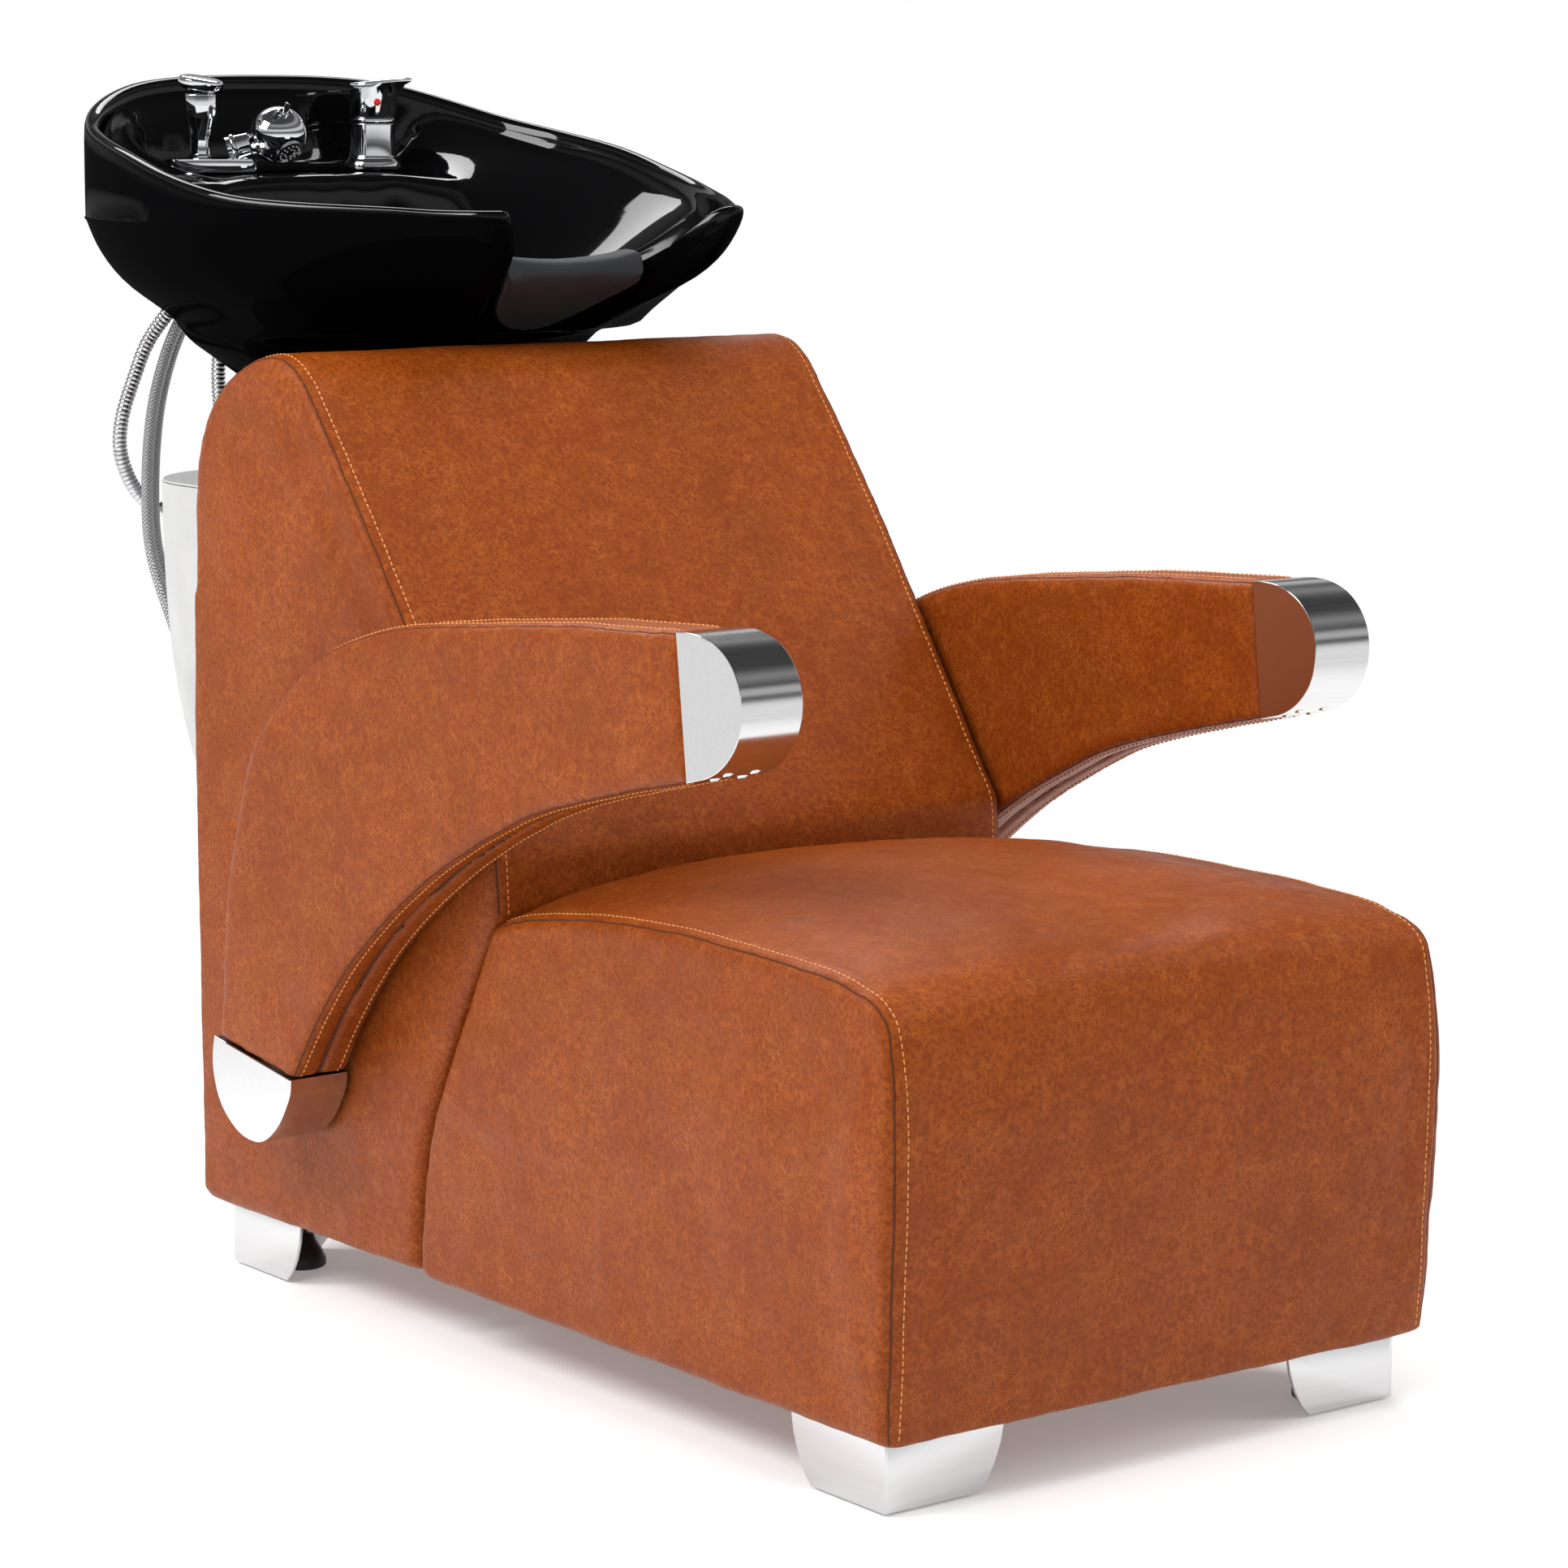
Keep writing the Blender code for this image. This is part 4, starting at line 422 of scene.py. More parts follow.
def inset_outline(outline, distance):
    """A closed 2-D polygon moved inwards, for small distances."""
    count = len(outline)
    following = outline[1:] + outline[:1]
    area = sum(a[0] * b[1] - b[0] * a[1] for a, b in zip(outline, following))
    sign = 1.0 if area > 0 else -1.0
    out = []
    for i in range(count):
        before, here, after = (Vector(outline[(i + k - 1) % count]) for k in range(3))
        edge0, edge1 = (here - before).normalized(), (after - here).normalized()
        normal0 = Vector((-edge0.y, edge0.x)) * sign
        normal1 = Vector((-edge1.y, edge1.x)) * sign
        middle = normal0 + normal1
        if middle.length < 1e-6:
            middle = normal0.copy()
        middle.normalize()
        scale = min(1.0 / max(middle.dot(normal0), 0.35), 1.8)
        out.append(tuple(here + middle * distance * scale))
    return out


def section(outline, x, inset=0.0):
    """A (y, z) outline set at x, drawn in by inset."""
    return [(x, y, z) for y, z in (inset_outline(outline, inset) if inset else outline)]


# ---------------------------------------------------------------- mesh helpers
def loft(rings, looped=False, into=None):
    """Skins rings of equal length, capped at the ends, or looped from the last to the first."""
    bm = into or bmesh.new()
    rows = [[bm.verts.new(p) for p in ring] for ring in rings]
    for lower, upper in zip(rows, rows[1:] + (rows[:1] if looped else [])):
        for i in range(len(lower)):
            j = (i + 1) % len(lower)
            bm.faces.new((lower[i], lower[j], upper[j], upper[i]))
    if not looped:
        bm.faces.new(list(reversed(rows[0])))
        bm.faces.new(rows[-1])
    return bm


def box(low, high):
    bm = bmesh.new()
    bmesh.ops.create_cube(bm, size=1.0)
    low, high = Vector(low), Vector(high)
    size = high - low
    for v in bm.verts:
        v.co = Vector([low[k] + (v.co[k] + 0.5) * size[k] for k in range(3)])
    return bm


def frame_to(axis):
    """Rotation that turns +Z to the axis."""
    return Vector(axis).normalized().to_track_quat("Z", "Y").to_matrix().to_4x4()


def lathe(profile, segments, at, axis=(0, 0, 1), looped=False):
    """A turned body of (radius, height) points; looped closes the profile round a hole."""
    place = Matrix.Translation(Vector(at)) @ frame_to(axis)
    return loft([[place @ Vector((radius * cos, radius * sin, height))
                  for cos, sin in circle(segments)] for radius, height in profile], looped)


def merge(target, part):
    """Adds one bmesh to another."""
    mesh = bpy.data.meshes.new("part")
    part.to_mesh(mesh)
    part.free()
    target.from_mesh(mesh)
    bpy.data.meshes.remove(mesh)


def link_mesh(name, bm):
    bmesh.ops.recalc_face_normals(bm, faces=bm.faces)
    mesh = bpy.data.meshes.new(name)
    bm.to_mesh(mesh)
    bm.free()
    ob = bpy.data.objects.new(name, mesh)
    bpy.context.scene.collection.objects.link(ob)
    return ob


def shade_smooth(mesh):
    for poly in mesh.polygons:
        poly.use_smooth = True


def mesh_object(name, bm, finish, angle=38):
    """A smooth object; edges above the angle, in degrees, stay sharp."""
    ob = link_mesh(name, bm)
    ob.data.materials.append(MATS[finish])
    shade_smooth(ob.data)
    ob.data.set_sharp_from_angle(angle=math.radians(angle))
    return ob


def boolean(ob, bm, operation="DIFFERENCE"):
    """Cuts the bmesh out of the object, or joins it on, when the modifiers are applied."""
    mod = ob.modifiers.new("boolean", "BOOLEAN")
    mod.operation = operation
    mod.object = link_mesh("cutter", bm)
    mod.solver = "EXACT"


def apply_mods(ob):
    """Applies the modifiers and removes the bodies they cut with."""
    tools = [mod.object for mod in ob.modifiers if mod.type == "BOOLEAN"]
    graph = bpy.context.evaluated_depsgraph_get()
    done = bpy.data.meshes.new_from_object(ob.evaluated_get(graph), depsgraph=graph)
    old = ob.data
    ob.modifiers.clear()
    ob.data = done
    bpy.data.meshes.remove(old)
    for tool in tools:
        bpy.data.objects.remove(tool)
    shade_smooth(done)


def add_subdivision(ob, levels=1):
    sub = ob.modifiers.new("fine", "SUBSURF")
    sub.levels = sub.render_levels = levels


def bake(ob, subdivide=0, bevel=0.0004, angle=40):
    """Applies subdivision, cuts and bevel in turn, and moves the mesh to the row frame."""
    if subdivide:
        add_subdivision(ob, subdivide)
        ob.modifiers.move(len(ob.modifiers) - 1, 0)
    if bevel:
        mod = ob.modifiers.new("edge", "BEVEL")
        mod.width = bevel
        mod.segments = 2
        mod.limit_method = "ANGLE"
        mod.angle_limit = math.radians(32)
    apply_mods(ob)
    ob.data.transform(TO_ROW)
    ob.data.set_sharp_from_angle(angle=math.radians(angle))
    bpy.context.view_layer.update()


def finish_piece(ob, node):
    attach(ob, BODY[node])
    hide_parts(node)


def detail(ob, body="unit", slot="leather"):
    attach(ob, body)


def read_vectors(mesh, attribute="co"):
    values = np.empty(len(mesh.vertices) * 3, np.float64)
    mesh.vertices.foreach_get(attribute, values)
    return values.reshape(-1, 3)


def write_points(mesh, co):
    mesh.vertices.foreach_set("co", np.asarray(co, np.float32).reshape(-1))
    mesh.update()


def relax(mesh, co, weight, rounds):
    """Draws each point towards the mean of its neighbours, by its weight."""
    ends = np.empty(len(mesh.edges) * 2, np.int64)
    mesh.edges.foreach_get("vertices", ends)
    ends = ends.reshape(-1, 2)
    for _ in range(rounds):
        total = np.zeros_like(co)
        count = np.zeros(len(co))
        for a, b in ((0, 1), (1, 0)):
            np.add.at(total, ends[:, a], co[ends[:, b]])
            np.add.at(count, ends[:, a], 1)
        co += (total / count[:, None] - co) * (0.5 * weight)[:, None]


# --------------------------------------------------------- upholstery helpers
PRESSURE = 4.0  # of the stuffing
CLOTH_FRAMES = 20


def block(name, rings, place, voxel, smooth):
    """An upholstery block with an even mesh."""
    ob = mesh_object(name, loft(rings), "leather")
    ob.data.transform(place)
    mod = ob.modifiers.new("even", "REMESH")
    mod.mode = "VOXEL"
    mod.voxel_size = voxel
    mod.use_smooth_shade = True
    soft = ob.modifiers.new("soft", "SMOOTH")
    soft.factor = 0.5
    soft.iterations = smooth
    apply_mods(ob)
    return ob


def simulate_swelling(ob, start, hold):
    """Runs the cloth under pressure and returns how far each point moved."""
    group = ob.vertex_groups.new(name="hold")
    group.add([int(i) for i in np.nonzero(hold > 0.5)[0]], 1.0, "REPLACE")
    mod = ob.modifiers.new("stuffing", "CLOTH")
    cloth = mod.settings
    cloth.quality = 4
    cloth.mass = 0.25
    cloth.tension_stiffness = cloth.compression_stiffness = 12
    cloth.shear_stiffness = 6
    cloth.bending_stiffness = 0.6
    cloth.use_pressure = True
    cloth.uniform_pressure_force = PRESSURE
    cloth.vertex_group_mass = "hold"
    cloth.effector_weights.gravity = 0.0
    mod.collision_settings.use_collision = False
    mod.point_cache.frame_start, mod.point_cache.frame_end = 1, CLOTH_FRAMES
    scene = bpy.context.scene
    for number in range(1, CLOTH_FRAMES + 1):
        scene.frame_set(number)
    graph = bpy.context.evaluated_depsgraph_get()
    moved = read_vectors(ob.evaluated_get(graph).data) - start
    ob.modifiers.clear()
    ob.vertex_groups.clear()
    scene.frame_set(1)
    return moved


def stuff(ob, hold, limit, shrink):
    """Swells the piece; hold pins points, limit is how far each may move."""
    mesh = ob.data
    normals = read_vectors(mesh, "normal")
    inward = np.minimum(shrink, limit * 0.55) * (1.0 - hold)
    start = read_vectors(mesh) - normals * inward[:, None]
    write_points(mesh, start)
    moved = simulate_swelling(ob, start, hold)
    # the simulation shapes the swelling, between about half of the limit and nearly all of it
    swell = (moved * normals).sum(1)
    slide = moved - normals * swell[:, None]
    size = np.maximum(np.linalg.norm(slide, axis=1), 1e-9)
    slide *= (np.tanh(size / np.maximum(limit, 1e-5)) * limit * 0.22 / size)[:, None]
    share = 0.70 + 0.24 * np.tanh(swell / np.maximum(limit, 1e-5))
    moved = normals * (limit * share)[:, None] + slide
    write_points(mesh, start + moved * (1.0 - hold)[:, None])


def refine(ob):
    add_subdivision(ob)
    apply_mods(ob)


def wrinkle(ob, amount, scale, seed):
    co = read_vectors(ob.data)
    normals = read_vectors(ob.data, "normal")
    offset = Vector((seed, seed, seed))
    waves = np.array([noise.noise(Vector(p) * scale + offset) for p in co])
    write_points(ob.data, co + normals * (waves * amount)[:, None])


def groove(ob, lines, depth, width):
    """Presses the leather in along seam lines."""
    points = [p for line in lines for p in line]
    tree = KDTree(len(points))
    for i, p in enumerate(points):
        tree.insert(p, i)
    tree.balance()
    co = read_vectors(ob.data)
    normals = read_vectors(ob.data, "normal")
    away = np.array([tree.find(Vector(p))[2] for p in co])
    write_points(ob.data, co - normals * (depth * np.exp(-((away / width) ** 2)))[:, None])


def densify(points, step):
    points = [Vector(p) for p in points]
    out = [points[0]]
    for a, b in zip(points, points[1:]):
        count = max(1, int((b - a).length / step))
        out += [a.lerp(b, k / count) for k in range(1, count + 1)]
    return out


def surface_of(ob):
    mesh = ob.data
    return BVHTree.FromPolygons([v.co[:] for v in mesh.vertices],
                                [tuple(p.vertices) for p in mesh.polygons])


def on_surface(tree, points, step):
    """The line laid on the leather, as (point, normal)."""
    return [tree.find_nearest(p)[:2] for p in densify(points, step)]


def spaced(line, step):
    """Points at even spacing along a polyline of (point, normal)."""
    out = [line[0]]
    left = step
    for (a, normal_a), (b, normal_b) in zip(line, line[1:]):
        length = (b - a).length
        position = 0.0
        while length - position >= left:
            position += left
            t = position / length
            out.append((a.lerp(b, t), normal_a.lerp(normal_b, t).normalized()))
            left = step
        left -= length - position
    return out


def join_cord(name, line, radius, sink=0.0003, flatness=0.8):
    """The dark cord that lies sunk in a seam."""
    rings = []
    for i, (p, normal) in enumerate(line):
        ahead = line[min(i + 1, len(line) - 1)][0] - line[max(i - 1, 0)][0]
        across = ahead.normalized().cross(normal).normalized()
        centre = p + normal * -sink
        rings.append([centre + across * (radius * cos) + normal * (radius * flatness * sin)
                      for cos, sin in circle(6)])
    return mesh_object(name, loft(rings), "seam_dark")


STITCH_LENGTH = 0.0042
STITCH_GAP = 0.0016
STITCH_RADIUS = 0.00062
STITCH_SHAPE = [(-0.5, 0.35), (-0.38, 0.85), (0.0, 1.0), (0.38, 0.85), (0.5, 0.35)]  # along, size


def stitches(name, line, lift=0.00045):
    """A row of separate stitches along a line on the leather."""
    bm = bmesh.new()
    spots = spaced(line, STITCH_LENGTH + STITCH_GAP)
    for (p, normal), (after, _) in zip(spots, spots[1:]):
        ahead = (after - p).normalized()
        across = ahead.cross(normal).normalized()
        centre = p + normal * lift + ahead * (STITCH_LENGTH / 2)
        rings = []
        for along, size in STITCH_SHAPE:
            dip = -STITCH_RADIUS * 1.1 * (abs(along) * 2) ** 3
            rings.append([centre + ahead * (along * STITCH_LENGTH) + normal * dip
                          + across * (STITCH_RADIUS * size * cos)
                          + normal * (STITCH_RADIUS * size * sin) for cos, sin in circle(6)])
        loft(rings, into=bm)
    return mesh_object(name, bm, "thread")


def seam(prefix, ob, points, twin=None, cord=0.0011, step=0.004):
    """A sewn join; twin is the line of the top-stitch row beside it."""
    tree = surface_of(ob)
    detail(join_cord(prefix + "_join", on_surface(tree, points, step), cord))
    if twin is not None:
        detail(stitches(prefix + "_topstitch", on_surface(tree, twin, step)))


# ------------------------------------------------------------- seat and back
BASE_Z = 0.057  # underside of the upholstery
SEAT_HALF = 0.279  # half width of the seat block
BACK_HALF = 0.279  # half width of the back block before it tapers
BACK_REAR_Y = 0.3420  # outer face of the rear panel
VOXEL = 0.0068
SIDE_ROUNDING = [(0.0, 0.0060), (0.0030, 0.0018), (0.0120, 0.0)]  # depth from a side, inset
SEAM_IN, TWIN_IN = 0.0025, 0.0135  # seam and top-stitch, in from the side
# (y, z) of the seat's centre line
SEAT_MID_Z = [(-0.653, 0.394), (-0.629, 0.408), (-0.571, 0.4185), (-0.471, 0.4235),
              (-0.365, 0.4240), (-0.277, 0.4235), (-0.197, 0.4190), (-0.150, 0.4120),
              (-0.1405, 0.377)]
# side outlines as (y, z): the seat's top and front, then its rear against the back
SEAT_TOP = [(-0.1405, 0.377), (-0.1500, 0.3800), (-0.197, 0.3915), (-0.277, 0.403),
            (-0.365, 0.409), (-0.471, 0.409), (-0.571, 0.4055), (-0.629, 0.397),
            (-0.653, 0.386), (-0.6635, 0.364), (-0.6685, 0.298), (-0.6650, 0.176),
            (-0.6600, BASE_Z)]
SEAT_REAR = [(-0.0265, BASE_Z), (-0.0302, 0.132), (-0.0512, 0.2055), (-0.0895, 0.281),
             (-0.1405, 0.377)]
# the back's lower front, its slanting front with the top, and its rear
BACK_LOW = [(-0.0140, BASE_Z), (-0.0190, 0.132), (-0.0395, 0.2055), (-0.0775, 0.281),
            (-0.1370, 0.381)]
BACK_SLANT = [(-0.1340, 0.430), (-0.0020, 0.614), (0.0770, 0.718), (0.1350, 0.790),
              (0.1500, 0.806), (0.1790, 0.8225), (0.2190, 0.8205), (0.2590, 0.806),
              (0.2900, 0.786), (0.3110, 0.759), (0.3240, 0.726), (0.3305, 0.680)]
BACK_REAR = [(0.3335, 0.600), (0.3340, 0.300), (0.3340, BASE_Z)]
SEAT_CROWN = [(-SEAT_HALF, 0.0), (-SEAT_HALF + 0.012, 0.05), (-0.19, 0.62), (-0.09, 0.92),
              (0.0, 1.0)]  # x, share of the rise to the centre line


def smooth_outline(*runs):
    return [tuple(p) for run in runs for p in spline(run, 2)]


def side_rows(half):
    return [(-half + depth, inset) for depth, inset in SIDE_ROUNDING]


def crown(share, y, z):
    """Lift of the seat's top towards its centre line."""
    if z < 0.3765 or y > -0.1406:
        return 0.0
    return share * max(0.0, smooth_table(y, SEAT_MID_Z) - z)


def sew_cushion(ob, node, prefix, line_at, folds):
    """Side seams and wrinkles; line_at(sign, inset) follows a side, folds are wrinkle values."""
    edges = [line_at(sign, SEAM_IN) for _, sign in SIDES]
    twins = [line_at(sign, TWIN_IN) for _, sign in SIDES]
    groove(ob, [densify(line, 0.004) for line in edges], depth=0.0026, width=0.0042)
    groove(ob, [densify(line, 0.004) for line in twins], depth=0.0009, width=0.0030)
    for amount, scale, seed in folds:
        wrinkle(ob, amount, scale, seed)
    finish_piece(ob, node)
    for (tag, _), edge, twin in zip(SIDES, edges, twins):
        seam(prefix + tag, ob, edge, twin)


def swell_seat(ob):
    co = read_vectors(ob.data)
    x, y, z = np.abs(co[:, 0]), co[:, 1], co[:, 2]
    hold = ((z < BASE_Z + 0.012) | ((y > -0.30) & (z < 0.20))).astype(float)
    top = rise(z, above=0.30, over=0.08)
    side = (rise(x, above=0.262, over=0.010) * rise(z, above=0.055, over=0.17)
            * fall(z, below=0.400, over=0.13))
    front = fall(y, below=-0.60, over=0.04)
    free = fall(y, below=-0.40, over=0.10)
    seamed = fall(x, below=SEAT_HALF, over=0.018) * (1 - side) + side
    low = rise(z, above=0.075, over=0.09)
    limit = 0.0022 + 0.0018 * top + 0.0070 * side * (0.30 + 0.70 * free) + 0.0018 * front
    limit *= 0.15 + 0.85 * np.minimum(low, np.clip(seamed, 0, 1))
    stuff(ob, hold, limit, shrink=0.0030)


def round_seat_front(ob):
    """The front rolls over in one broad curve, and the upright edges stay full."""
    co = read_vectors(ob.data)
    x, y, z = np.abs(co[:, 0]), co[:, 1], co[:, 2]
    roll = (fall(y, below=-0.575, over=0.05) * rise(z, above=0.285, over=0.05)
            * fall(x, below=0.272, over=0.03))
    full = (rise(x, above=0.235, over=0.035) * fall(y, below=-0.60, over=0.05)
            * rise(z, above=0.06, over=0.06) * fall(z, below=0.370, over=0.05))
    relax(ob.data, co, roll, rounds=55)
    co[:, 0] += np.sign(co[:, 0]) * 0.0030 * full
    co[:, 1] -= 0.0018 * full
    write_points(ob.data, co)


def seat():
    outline = smooth_outline(SEAT_TOP, SEAT_REAR)[:-1]
    half = [(x, inset, smooth_table(x, SEAT_CROWN)) for x, inset in
            side_rows(SEAT_HALF) + [(-0.25 + 0.025 * k, 0.0) for k in range(10)]]
    rows = half + [(0.0, 0.0, 1.0)] + [(-x, inset, share) for x, inset, share in reversed(half)]
    rings = [[(x, y, z + crown(share, y, z)) for _, y, z in section(outline, x, inset)]
             for x, inset, share in rows]
    ob = block("seat_leather", rings, TO_ROW, VOXEL, smooth=3)
    swell_seat(ob)
    round_seat_front(ob)
    refine(ob)
    # the seam runs over the top and down the front
    run = [Vector((0, y, z)) + SHIFT for y, z in outline]
    run = [p for p in run if not (p.z < 0.372 and p.y > -0.60)]
    run.sort(key=lambda p: math.atan2(p.z - 0.2, p.y + 0.40) % (2 * math.pi))

    def line_at(sign, inset):
        return [Vector((sign * (SEAT_HALF - inset), p.y, p.z)) for p in run]

    sew_cushion(ob, "seat_cushion", "seat_seam_", line_at,
                folds=((0.0011, 16.0, 3.1), (0.0004, 60.0, 9.1)))


def back_half(y):
    """Half width of the back, which widens to the rear."""
    return 0.2700 + 0.0190 * (y + 0.137)


def swell_back(ob):
    co = read_vectors(ob.data)
    x, y, z = np.abs(co[:, 0]), co[:, 1], co[:, 2]
    hold = ((z < BASE_Z + 0.012) | ((y < 0.06) & (z < 0.36)) | (y > 0.3225)).astype(float)
    slant = rise(z, above=0.38, over=0.06)
    edge = back_half(y - ROW_SHIFT_Y)
    flat = rise(x, above=edge - 0.010, over=0.006)
    seamed = np.clip(fall(x, below=edge, over=0.018) + flat, 0, 1)
    low = rise(z, above=0.075, over=0.09)
    limit = (0.0020 + 0.0022 * slant) * (0.15 + 0.85 * np.minimum(low, seamed))
    stuff(ob, hold, limit, shrink=0.0026)


def back():
    outline = smooth_outline(BACK_LOW, BACK_SLANT) + BACK_REAR
    side = side_rows(BACK_HALF)
    rows = side + [(-0.24 + 0.03 * k, 0.0) for k in range(17)]
    rows += [(-x, inset) for x, inset in reversed(side)]
    rings = [[Vector(p) for p in section(outline, x, inset)] for x, inset in rows]
    for ring in rings:
        for p in ring:
            p.x *= back_half(p.y) / BACK_HALF
    ob = block("back_leather", rings, TO_ROW, VOXEL, smooth=3)
    swell_back(ob)
    refine(ob)
    # the seam follows the slanting front and the top
    run = [Vector((0, y, z)) + SHIFT for y, z in outline]
    run = [p for p in run if p.z > 0.376 and not (p.z < 0.70 and p.y > 0.3)]
    run.sort(key=lambda p: p.y)

    def line_at(sign, inset):
        return [Vector((sign * (back_half(p.y) - inset), p.y, p.z)) for p in run]

    sew_cushion(ob, "back_cushion", "back_seam_", line_at,
                folds=((0.0011, 15.0, 21.7), (0.0004, 60.0, 5.7)))


def back_board():
    """The flat leather board on the rear, with rounded top corners."""
    half, low, shoulder, corner = 0.262, 0.0620, 0.6700, 0.040
    panel = [(-half, low), (half, low), (half, shoulder)]
    for k in range(1, 16):
        angle = math.radians(6 * k)
        panel.append((half - corner * (1 - math.cos(angle)), shoulder + corner * math.sin(angle)))
    panel += [(-x, z) for x, z in reversed(panel[2:])]
    layers = [(0.3344, 0.0008), (0.3352, 0.0), (BACK_REAR_Y - 0.0022, 0.0),
              (BACK_REAR_Y - 0.0006, 0.0008), (BACK_REAR_Y, 0.0025)]  # y, inset
    rings = [[(x, y, z) for x, z in (inset_outline(panel, inset) if inset else panel)]
             for y, inset in layers]
    board = mesh_object("back_board_leather", loft(rings), "leather")
    board.data.transform(TO_ROW)
    finish_piece(board, "back_panel")
    line = [Vector((x, BACK_REAR_Y, z)) + SHIFT for x, z in inset_outline(panel, 0.010)]
    dense = [(p, Vector((0, 1, 0))) for a, b in zip(line, line[1:] + line[:1])
             for p in densify([a, b], 0.005)[:-1]]
    detail(stitches("back_board_topstitch", dense, lift=0.0002))


# ------------------------------------------------------------------- armrests
ARM_T = 0.058  # thickness of an armrest across X
ARM_TOE = 0.0325  # toe-in of the armrests towards the front, radians
ARM_PIVOT_Y = 0.200
ARM_INNER_X = 0.2842  # inner face of an armrest at ARM_PIVOT_Y
ARM_SEAM = 0.0030  # seams, in from each face
ARM_TWIN = ARM_SEAM + 0.0075  # top-stitch and under-stitch rows
# outlines as (y, z): the leather's top, front to rear, and its underside, rear to front
ARM_TOP = [(-0.4568, 0.6489), (-0.4220, 0.6476), (-0.3194, 0.6426), (-0.2120, 0.6328),
           (-0.1223, 0.6235), (-0.0643, 0.6143), (-0.0089, 0.5993), (0.0410, 0.5781),
           (0.0861, 0.5441), (0.1256, 0.5082), (0.1480, 0.4670), (0.1655, 0.4165),
           (0.1755, 0.3800), (0.1825, 0.3300), (0.1880, 0.2740), (0.1926, 0.2361)]
ARM_UNDER = [(0.0777, 0.2181), (0.0401, 0.2731), (-0.0101, 0.3290), (-0.0708, 0.3786),
             (-0.1412, 0.4249), (-0.2092, 0.4600), (-0.2750, 0.4877), (-0.3701, 0.5138),
             (-0.4691, 0.5361)]
# metal end caps, from the leather's top round to its underside
CAP_FRONT = [(-0.4568, 0.6489), (-0.4696, 0.6495), (-0.4850, 0.6487), (-0.5008, 0.6450),
             (-0.5140, 0.6385), (-0.5248, 0.6290), (-0.5320, 0.6180), (-0.5359, 0.6060),
             (-0.5365, 0.5940), (-0.5343, 0.5820), (-0.5295, 0.5710), (-0.5215, 0.5600),
             (-0.5105, 0.5505), (-0.4960, 0.5430), (-0.4809, 0.5390), (-0.4691, 0.5361)]
CAP_REAR = [(0.1974, 0.2375), (0.2005, 0.2230), (0.2005, 0.2080), (0.1952, 0.1900),
            (0.1870, 0.1770), (0.1763, 0.1675), (0.1650, 0.1605), (0.1533, 0.1563),
            (0.1410, 0.1545), (0.1290, 0.1550), (0.1165, 0.1600), (0.1056, 0.1680),
            (0.0960, 0.1775), (0.0870, 0.1905), (0.0793, 0.2050), (0.0777, 0.2181)]
ARM_ROUNDING = [(0.0004, 0.0040), (0.0012, 0.0018), (0.0035, 0.0)]  # depth from a face, inset
CAP_ROUNDING = [(0.0, 0.0007), (0.0002, 0.0002), (0.0007, 0.0)]
CAP_WALL = 0.002
SCREW_HEAD = [(0.0036, 0.0), (0.0042, 0.0004), (0.0042, 0.0018), (0.0034, 0.0030),
              (0.0016, 0.0032), (0.0014, 0.0020)]  # radius, height


def from_pivot(points):
    return [(y - ARM_PIVOT_Y, z) for y, z in points]


def both_faces(rounding, between=()):
    return (rounding + [(x, 0.0) for x in between]
            + [(ARM_T - depth, inset) for depth, inset in reversed(rounding)])


def swell_arm(ob, place):
    """Swells an armrest everywhere but at its two cut ends."""
    inverse = place.inverted()
    local = read_vectors(ob.data) @ np.array(inverse.to_3x3()).T + np.array(inverse.translation)
    distance = np.full(len(local), 9.0)
    for ends in ((ARM_TOP[0], ARM_UNDER[-1]), (ARM_TOP[-1], ARM_UNDER[0])):
        a, b = (Vector(p) for p in from_pivot(ends))
        along = (b - a).normalized()
        across = np.array((-along.y, along.x))
        beyond = np.abs((local[:, 1:] - np.array((a + b) / 2)) @ np.array(along))
        beyond = np.maximum(0, beyond - (b - a).length * 0.75)
        away = np.abs((local[:, 1:] - np.array(a)) @ across) + 10 * beyond
        distance = np.minimum(distance, away)
    limit = 0.0004 + 0.0022 * rise(distance, above=0.0, over=0.05)
    stuff(ob, (distance < 0.006).astype(float), limit, shrink=0.0014)


